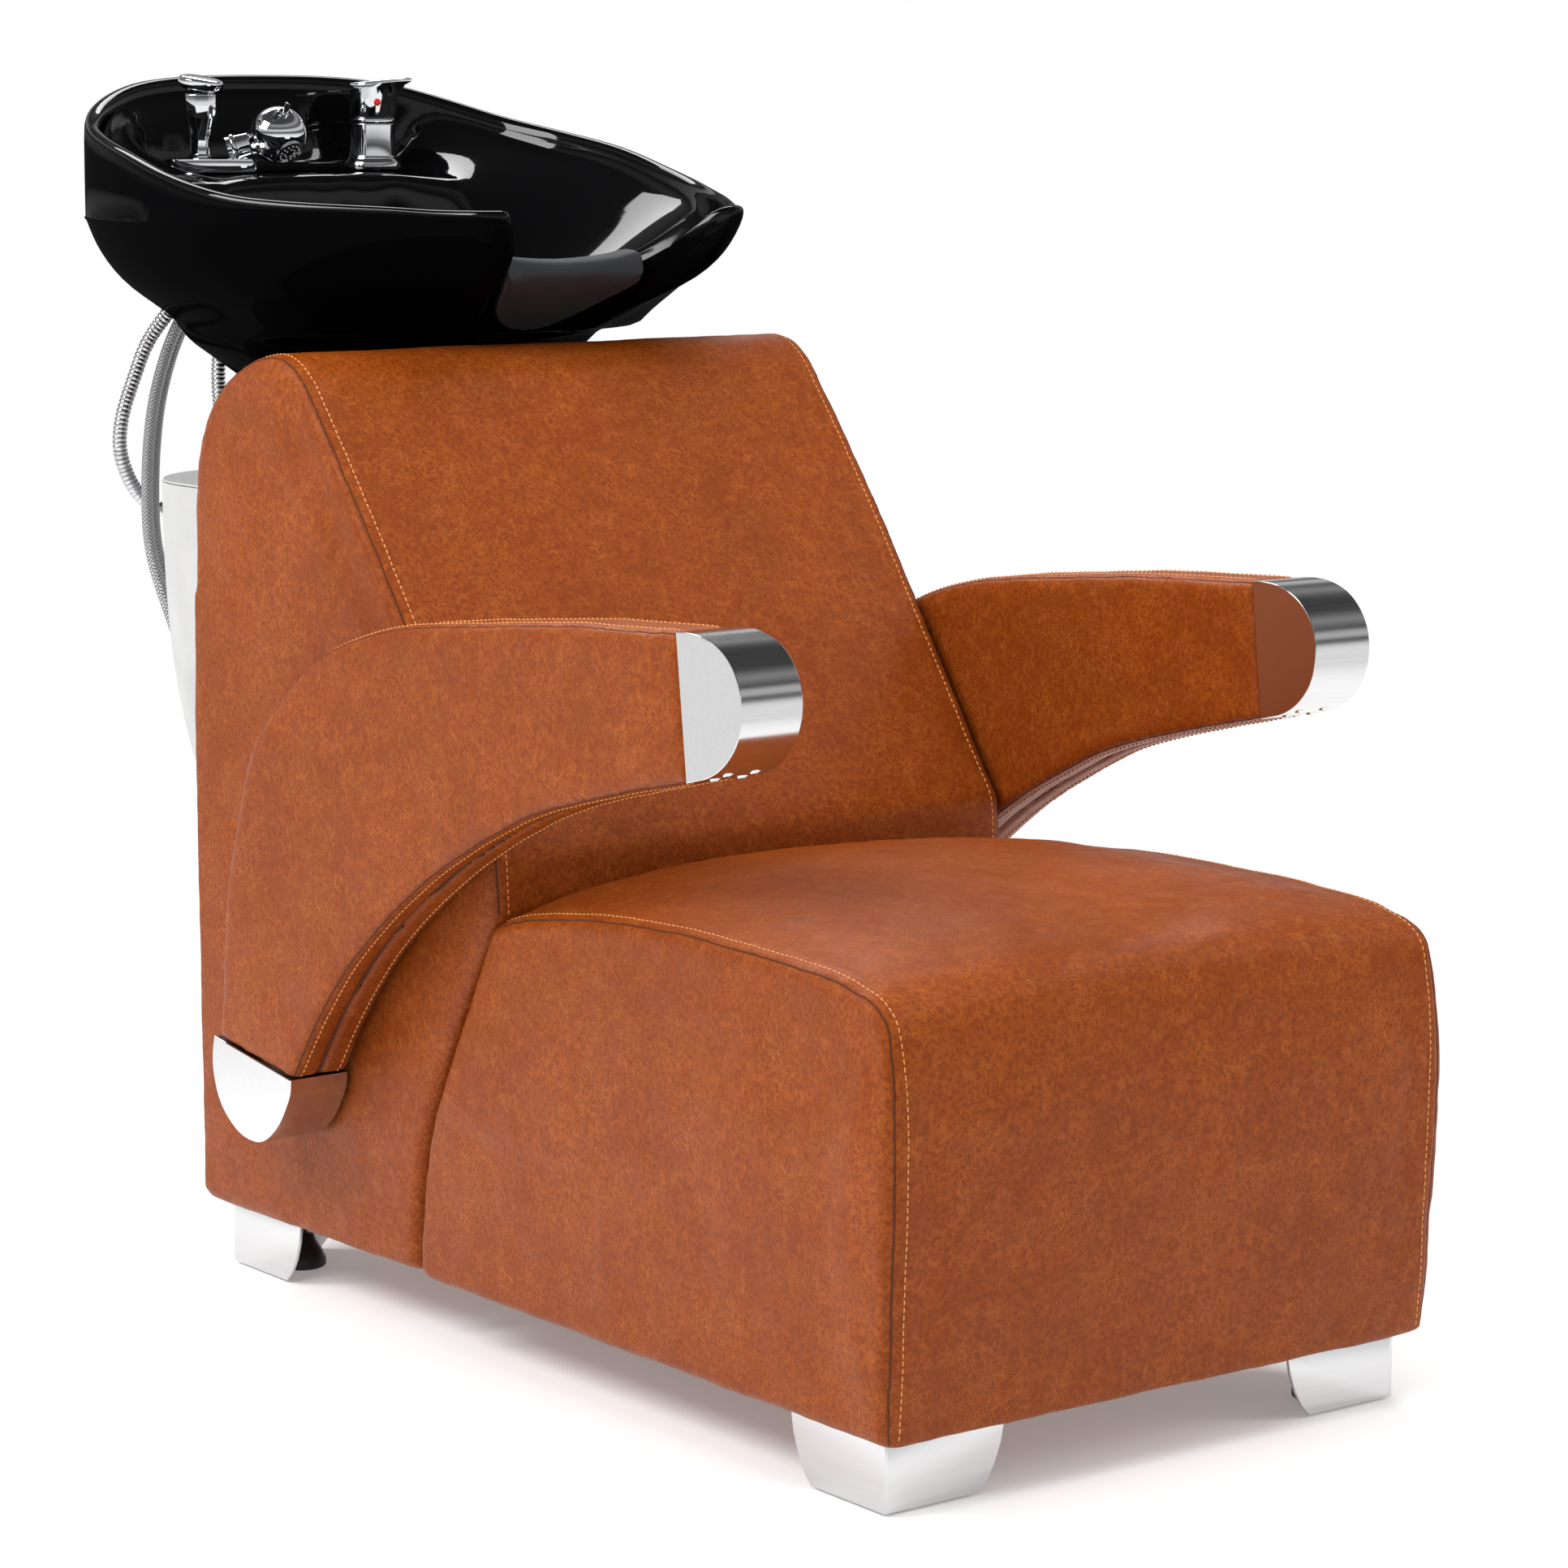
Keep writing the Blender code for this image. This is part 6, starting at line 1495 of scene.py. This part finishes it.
# turned parts as (radius, height above MIXER_Z), with segments and finish
MIXER_PARTS = [
    ("mixer_body", 128, "chrome",
     [(0.0105, -0.0290), (0.0105, -0.0002), (0.0274, 0.0), (0.0284, 0.0030), (0.0272, 0.0070),
      (0.0236, 0.0100), (0.0236, 0.0115), (0.0226, 0.0125), (0.0215, 0.0300),
      (0.0211, 0.0420), (0.0211, 0.0435)]),
    ("mixer_collar", 128, "chrome",
     [(0.0200, 0.0439), (0.0219, 0.0443), (0.0219, 0.0480), (0.0200, 0.0484)]),
    ("mixer_cartridge", 96, "brass",
     [(0.0110, 0.0488), (0.0110, 0.0560), (0.0045, 0.0564), (0.0045, 0.0610)])]
# lever cap: radius, reach of the paddle, height above MIXER_Z, whether it tilts
LEVER = [(0.0214, 0.0214, 0.0490, False), (0.0220, 0.0222, 0.0510, False),
         (0.0220, 0.0240, 0.0680, False), (0.0222, 0.0315, 0.0775, True),
         (0.0222, 0.0385, 0.0812, True), (0.0214, 0.0385, 0.0838, True),
         (0.0180, 0.0350, 0.0845, True)]
PADDLE = Vector((0.80, -0.60)).normalized()
BASE_PLATE = [(0.985, 0.0004), (1.0, 0.0014), (1.0, 0.0110), (0.985, 0.0128),
              (0.93, 0.0135)]  # scale, height above the deck
BREAKER_Z = DECK_Z + 0.0139
BREAKER = [(0.0120, 0.0), (0.0120, 0.0018), (0.0098, 0.0030), (0.0098, 0.0240),
           (0.0148, 0.0365), (0.0154, 0.0385), (0.0154, 0.0585), (0.0142, 0.0600)]
BREAKER_CAP = [(0.0165, 0.0), (0.0205, 0.0022), (0.0212, 0.0050), (0.0212, 0.0092),
               (0.0200, 0.0110), (0.0150, 0.0124)]
HEAD_C = Vector((-0.0350, 0.5750, 1.0030))  # centre of the spray head's ball
HEAD_R = 0.0270
SOCKET_AXIS = Vector((0.86, -0.44, 0.26)).normalized()  # spray lifts along this
SPRAY_AXIS = Vector((0.10, -0.55, -0.62)).normalized()  # the spray face looks along this
SOCKET = [(0.0080, -0.0460), (0.0122, -0.0460), (0.0128, -0.0450), (0.0128, -0.0428),
          (0.0112, -0.0415), (0.0108, -0.0400), (0.0102, -0.0300), (0.0102, -0.0288),
          (0.0080, -0.0288)]
HEAD_NECK = [(0.0066, -0.0450), (0.0070, -0.0440), (0.0070, -0.0285), (0.0105, -0.0276)]
# thumb lever, side view: along the slot, height from the ball's centre
THUMB_LEVER = [(-0.0112, 0.0162), (-0.0085, 0.0160), (0.0085, 0.0186), (0.0105, 0.0330),
               (0.0088, 0.0338), (0.0062, 0.0212), (-0.0085, 0.0186), (-0.0112, 0.0184)]


def raised(profile, base):
    return [(radius, base + height) for radius, height in profile]


def mixer():
    x, y, _ = TAP_AT
    for name, segments, finish, profile in MIXER_PARTS:
        fitting(name, lathe(raised(profile, MIXER_Z), segments, TAP_AT), finish)
    # lever cap: round over the body, drawn out into a short flat paddle
    rings = []
    for radius, reach, height, tilted in LEVER:
        ring = []
        for spoke in circle(96):
            spoke = Vector(spoke)
            facing = spoke.dot(PADDLE)
            lobe = max(0.0, facing) ** 2
            r = radius + (reach - radius) * lobe
            lift = 0.0010 * lobe + 0.0018 * facing if tilted else 0.0
            ring.append((x + spoke.x * r, y + spoke.y * r, MIXER_Z + height + lift))
        rings.append(ring)
    lever = fitting("mixer_lever", loft(rings), "chrome")
    boolean(lever, lathe(raised([(0.0165, 0.0400), (0.0165, 0.0640)], MIXER_Z), 96, TAP_AT))
    face = Vector((-0.35, -0.94, 0.0)).normalized()
    button = Vector((x, y, MIXER_Z + 0.0640)) + face * 0.0222
    fitting("temperature_button",
            lathe([(0.0034, 0.0004), (0.0034, 0.0012), (0.0024, 0.0018)], 64, button, face),
            "mark_red")
    nut = [(0.0109, 0.9465), (0.0165, 0.9465), (0.0165, 0.9540), (0.0109, 0.9540)]
    fitting("mixer_nut", lathe(nut, 96, TAP_AT, looped=True), "brass")


def fitting_base():
    """The plate that the vacuum breaker shares with the spray socket."""
    power = 3.2
    outline = []
    for cos, sin in circle(112):
        radius = (abs(cos) ** power + abs(sin) ** power) ** (-1 / power)
        outline.append((cos * radius, sin * radius))
    centre = Vector((-0.0935, 0.6005))
    half_length, half_width = 0.0425, 0.0220
    cos, sin = math.cos(math.radians(-30)), math.sin(math.radians(-30))
    rings = []
    for scale, height in BASE_PLATE:
        rings.append([(centre.x + (u * half_length * scale) * cos - (v * half_width * scale) * sin,
                       centre.y + (u * half_length * scale) * sin + (v * half_width * scale) * cos,
                       DECK_Z + height) for u, v in outline])
    base = fitting("fitting_base", loft(rings), "chrome")
    boss = [(0.0118, -0.0505), (0.0122, -0.0464)]
    boolean(base, lathe(boss, 96, HEAD_C, SOCKET_AXIS), "UNION")
    boolean(base, lathe([(0.0150, -0.0464), (0.0150, 0.0)], 96, HEAD_C, SOCKET_AXIS))


def vacuum_breaker():
    """An eight-sided body under a round, leaning cap."""
    fitting("vacuum_breaker", lathe(raised(BREAKER, BREAKER_Z), 8, BREAKER_AT), "chrome")
    lean = Vector((0.10, -0.16, 0.98)).normalized()
    at = (*BREAKER_AT[:2], BREAKER_Z + 0.0632)
    fitting("breaker_cap", lathe(BREAKER_CAP, 128, at, lean), "chrome")


def spray():
    """A ball with a neck that sits in a socket, a spray face and a thumb lever on its crown."""
    fitting("spray_socket", lathe(SOCKET, 96, HEAD_C, SOCKET_AXIS, looped=True), "chrome")
    profile = list(HEAD_NECK)
    for k in range(41):
        angle = math.radians(-62 + 152 * k / 40)
        profile.append((HEAD_R * math.cos(angle), HEAD_R * math.sin(angle)))
    profile[-1] = (0.0022, HEAD_R)
    head = fitting("spray_head", lathe(profile, 112, HEAD_C, SOCKET_AXIS), "chrome")
    boolean(head, lathe([(0.0300, 0.0205), (0.0300, 0.0400)], 128, HEAD_C, SPRAY_AXIS))
    disc = [(0.0140, 0.0207), (0.0140, 0.0222), (0.0120, 0.0232)]
    fitting("spray_face", lathe(disc, 112, HEAD_C, SPRAY_AXIS), "chrome")
    # slot and lever share a frame: along the slot, across it, and out of the ball
    out = Vector((-0.24, -0.61, 0.75)).normalized()
    lean = Vector((0.484, -0.205, 0.850))
    along = (lean - out * lean.dot(out)).normalized()
    across = out.cross(along)
    turn = Matrix(((along.x, across.x, out.x, 0), (along.y, across.y, out.y, 0),
                   (along.z, across.z, out.z, 0), (0, 0, 0, 1)))
    place = Matrix.Translation(HEAD_C) @ turn
    outline = [(0.0125 * cos, 0.0062 * math.copysign(abs(sin) ** 0.7, sin))
               for cos, sin in circle(80)]
    slot = loft([[(u, v, height) for u, v in outline] for height in (0.0150, 0.0400)])
    slot.transform(place)
    boolean(head, slot)
    lever = loft([[(u, v, height) for u, height in THUMB_LEVER] for v in (-0.0026, 0.0026)])
    lever.transform(place)
    fitting("spray_lever", lever, "chrome")


def spray_nozzles():
    """Two rings of small dots on the spray face."""
    turn = frame_to(SPRAY_AXIS)
    bm = bmesh.new()
    for radius, count in ((0.0098, 14), (0.0052, 7)):
        for cos, sin in circle(count):
            at = HEAD_C + SHIFT + (turn @ Vector((radius * cos, radius * sin, 0.0230)))
            dot = [(0.0009, -0.0004), (0.0009, 0.0004), (0.0005, 0.0009)]
            merge(bm, lathe(dot, 12, at, SPRAY_AXIS))
    detail(mesh_object("spray_nozzles", bm, "nozzle"), "handset", "chrome")


# ------------------------------------------------------------- plumbing cover
COVER_TOP = 0.6940
COVER_DROP = 0.451
COVER_HALF = 0.247
COVER_DEPTH = 0.182
COVER_R = 0.122
COVER_SHEET = 0.0016
COVER_Y = BACK_REAR_Y + 0.0006  # the cover's open edge
COVER_POWER = 2.6  # of the curve by which it narrows downwards
COVER_SCREW_X, COVER_SCREW_Z = 0.150, 0.610
# angle that the cover hangs on, (y, z), y from the rear panel
RAIL = [(0.0005, 0.595), (0.0021, 0.595), (0.0021, 0.6235), (0.0200, 0.6235),
        (0.0200, 0.6251), (0.0005, 0.6251)]
COVER_SCREW = [(0.0032, -0.0020), (0.0032, 0.0040), (0.0062, 0.0042), (0.0062, 0.0062),
               (0.0040, 0.0078)]


def cover_outline(scale):
    """The U-shaped plan of the cover, from the -X edge round to the +X edge."""
    half, depth, radius = COVER_HALF * scale, COVER_DEPTH * scale, COVER_R * scale
    points = [(-half, COVER_Y), (-half, COVER_Y + (depth - radius) * 0.5)]
    for k in range(25):
        angle = math.radians(k / 24 * 90)
        points.append((-half + radius - radius * math.cos(angle),
                       COVER_Y + depth - radius + radius * math.sin(angle)))
    return points + [(-x, y) for x, y in reversed(points)]


def inner_skin(rows):
    """The shell's points moved inwards by the sheet thickness."""
    row_count, count = len(rows), len(rows[0])
    aim = Vector((0, BACK_REAR_Y, COVER_TOP - 0.05))
    inner = []
    for i, row in enumerate(rows):
        line = []
        for j, p in enumerate(row):
            along = row[min(j + 1, count - 1)] - row[max(j - 1, 0)]
            down = rows[min(i + 1, row_count - 1)][j] - rows[max(i - 1, 0)][j]
            normal = along.cross(down).normalized()
            if normal.dot(aim - p) < 0:
                normal = -normal
            q = p + normal * COVER_SHEET
            if i == 0:
                q.z = COVER_TOP
            if j in (0, count - 1):
                q.y = COVER_Y
            line.append(q)
        inner.append(line)
    return inner


def cover_shell():
    rows = []
    for level in [math.sin(math.pi / 2 * i / 40) for i in range(40)] + [0.9999]:
        scale = (1 - level**COVER_POWER) ** (1 / COVER_POWER)
        z = COVER_TOP - COVER_DROP * level
        rows.append([Vector((x, y, z)) for x, y in cover_outline(scale)])
    bm = bmesh.new()
    a = [[bm.verts.new(p) for p in row] for row in rows]
    b = [[bm.verts.new(p) for p in row] for row in inner_skin(rows)]
    last_row, last = len(rows) - 1, len(rows[0]) - 1
    for i in range(last_row):
        for j in range(last):
            bm.faces.new((a[i][j], a[i][j + 1], a[i + 1][j + 1], a[i + 1][j]))
            bm.faces.new((b[i][j], b[i + 1][j], b[i + 1][j + 1], b[i][j + 1]))
    for i in range(last_row):
        bm.faces.new((a[i][0], a[i + 1][0], b[i + 1][0], b[i][0]))
        bm.faces.new((a[i][last], b[i][last], b[i + 1][last], a[i + 1][last]))
    for j in range(last):
        bm.faces.new((a[0][j], b[0][j], b[0][j + 1], a[0][j + 1]))
        bm.faces.new((a[-1][j], a[-1][j + 1], b[-1][j + 1], b[-1][j]))
    fitting("plumbing_cover", bm, "cover_metal")


def cover_fittings():
    """The lid with its notch for the drain, two screws and the rail inside."""
    lid = cover_outline(0.998)
    layers = ((0.0006, lid), (0.0020, lid), (0.0026, inset_outline(lid, 0.0006)))
    ob = fitting("cover_lid", loft([[(x, y, COVER_TOP + height) for x, y in outline]
                                    for height, outline in layers]), "cover_metal")
    y = DRAIN[1]
    boolean(ob, box((-0.040, y - 0.062, COVER_TOP - 0.01), (0.040, y + 0.036, COVER_TOP + 0.02)))
    for tag, sign in SIDES:
        at = (sign * COVER_SCREW_X, BACK_REAR_Y + 0.0024, COVER_SCREW_Z)
        fitting("cover_screw_" + tag, lathe(COVER_SCREW, 64, at, (0, 1, 0)), "stainless")
    rail = fitting("cover_rail", loft([[(x, BACK_REAR_Y + y, z) for y, z in RAIL]
                                       for x in (-0.185, 0.185)]), "frame_steel")
    for _, sign in SIDES:
        at = (sign * COVER_SCREW_X, BACK_REAR_Y, COVER_SCREW_Z)
        boolean(rail, lathe([(0.0036, -0.01), (0.0036, 0.01)], 64, at, (0, 1, 0)))


# ------------------------------------------------------------------- build
# subdivision level, bevel width, sharp angle in degrees; others take bake()'s defaults
BAKING = {
    "bowl": (1, 0.0, 60), "neck_rest": (2, 0.0, 80), "mixer_body": (0, 0.00035, 50),
    "mixer_collar": (0, 0.0003, 50), "mixer_lever": (0, 0.0005, 50),
    "fitting_base": (0, 0.0005, 50), "vacuum_breaker": (0, 0.0006, 25),
    "breaker_cap": (0, 0.0004, 50), "spray_socket": (0, 0.0002, 50),
    "spray_head": (0, 0.0003, 50), "spray_face": (0, 0.0003, 50),
    "spray_lever": (0, 0.0006, 40), "plumbing_cover": (0, 0.0, 50),
    "cover_lid": (0, 0.0004, 40), "temperature_button": (0, 0.0003, 50),
    "mixer_nut": (0, 0.0003, 40),
}

for build in (seat, back, back_board, arms, hoses, feet, basin, neck_rest, mixer, fitting_base,
              vacuum_breaker, spray, cover_shell, cover_fittings):
    build()
crease_ledge(FITTINGS["bowl"].data)
for node_name, ob in FITTINGS.items():
    bake(ob, *BAKING.get(node_name, ()))
    finish_piece(ob, node_name)
soften_bowl(FITTINGS["bowl"].data)
raise_ledge(FITTINGS["bowl"].data)
spray_nozzles()

# every CAD node that still shows gets its own finish
for node_name, ob in NODES.items():
    ob.data.materials.clear()
    ob.data.materials.append(MATS[FINISH.get(node_name, SLOT[node_name])])


# -------------------------------------------------------------------- studio
def add_floor():
    bm = bmesh.new()
    bmesh.ops.create_grid(bm, x_segments=8, y_segments=8, size=30.0)
    MATS["floor"] = floor_white("floor_white")
    mesh_object("floor", bm, "floor")


def add_world():
    """White to the camera, soft grey light, and bands by height for mirror-like surfaces."""
    world = bpy.data.worlds.new("studio")
    bpy.context.scene.world = world
    net = Shader(world)
    camera_ray = net.node("ShaderNodeLightPath", "Is Camera Ray")
    glossy_ray = camera_ray.node.outputs["Is Glossy Ray"]
    direction = net.node("ShaderNodeTexCoord", "Generated")
    upward = net.node("ShaderNodeSeparateXYZ", "Z", Vector=direction)
    height = net.math("MULTIPLY_ADD", upward, 0.5, 0.5)
    soft = net.ramp(height, (0.0, 0.46), (1.0, 0.38), blue=1.01)
    shiny = net.ramp(height, (0.0, 0.62), (0.47, 0.72), (0.515, 0.80), (0.55, 0.22),
                     (0.59, 0.06), (0.625, 0.60), (0.675, 0.55), (0.71, 0.06), (0.80, 0.32),
                     (0.86, 0.06), (1.0, 0.05), blue=1.01)
    light = net.mix(glossy_ray, soft, shiny)
    background = net.nodes["Background"]
    net.connect(net.mix(camera_ray, light, (1.0, 1.0, 1.0)), background.inputs["Color"])
    background.inputs["Strength"].default_value = 1.0


def softbox(name, at, target, width, height, watts, mirrored=True):
    data = bpy.data.lights.new(name, "AREA")
    data.shape = "RECTANGLE"
    data.size = width
    data.size_y = height
    data.energy = watts
    ob = bpy.data.objects.new(name, data)
    ob.location = at
    ob.rotation_euler = (Vector(at) - Vector(target)).to_track_quat("Z", "Y").to_euler()
    ob.visible_glossy = mirrored
    bpy.context.scene.collection.objects.link(ob)
    return ob


MIDDLE = (0.0, 0.0, 0.5)
# name, place, target, width, height, watts, seen in reflections
LAMPS = [
    ("key", (-2.7, -1.3, 2.5), MIDDLE, 1.5, 1.2, 49.0, False),
    ("top", (0.3, -0.6, 3.4), MIDDLE, 2.4, 2.4, 62.0, False),
    ("fill", (2.6, -2.6, 1.9), MIDDLE, 1.8, 1.4, 38.0, False),
    ("rear", (-1.2, 3.0, 2.2), MIDDLE, 1.4, 1.2, 20.0, False),
    ("rim", (1.0, 2.9, 3.5), (0.0, 0.2, 0.8), 2.8, 1.1, 60.0, True),
    ("side", (-2.75, 0.95, 2.85), (0.1, 0.4, 0.95), 1.7, 1.5, 80.0, True),
]


def add_lights():
    for lamp in LAMPS:
        softbox(*lamp)
    # a lamp for the leather's sheen only
    hides = bpy.data.collections.new("hides")
    lit = (MATS["leather"], MATS["thread"])
    for ob in bpy.data.objects:
        if ob.type == "MESH" and ob.data.materials and ob.data.materials[0] in lit:
            hides.objects.link(ob)
    sheen = softbox("sheen", (2.2, -1.4, 2.65), target=(0.0, -0.55, 0.4), width=1.5, height=0.8,
                    watts=9.0)
    sheen.light_linking.receiver_collection = hides


def add_camera():
    """A long lens at the front left, turned by its azimuth and height above the horizon."""
    data = bpy.data.cameras.new("camera")
    data.sensor_width = 36.0
    data.lens = 106.80
    camera = bpy.data.objects.new("camera", data)
    bpy.context.scene.collection.objects.link(camera)
    camera.location = (-2.3309, -3.2545, 1.0561)
    azimuth, elevation = math.radians(-37.1364), math.radians(8.6292)
    backward = Vector((math.sin(azimuth) * math.cos(elevation),
                       -math.cos(azimuth) * math.cos(elevation), math.sin(elevation)))
    camera.rotation_euler = backward.to_track_quat("Z", "Y").to_euler()
    bpy.context.scene.camera = camera


add_floor()
add_world()
add_lights()
add_camera()
bpy.context.scene.view_settings.view_transform = "Standard"
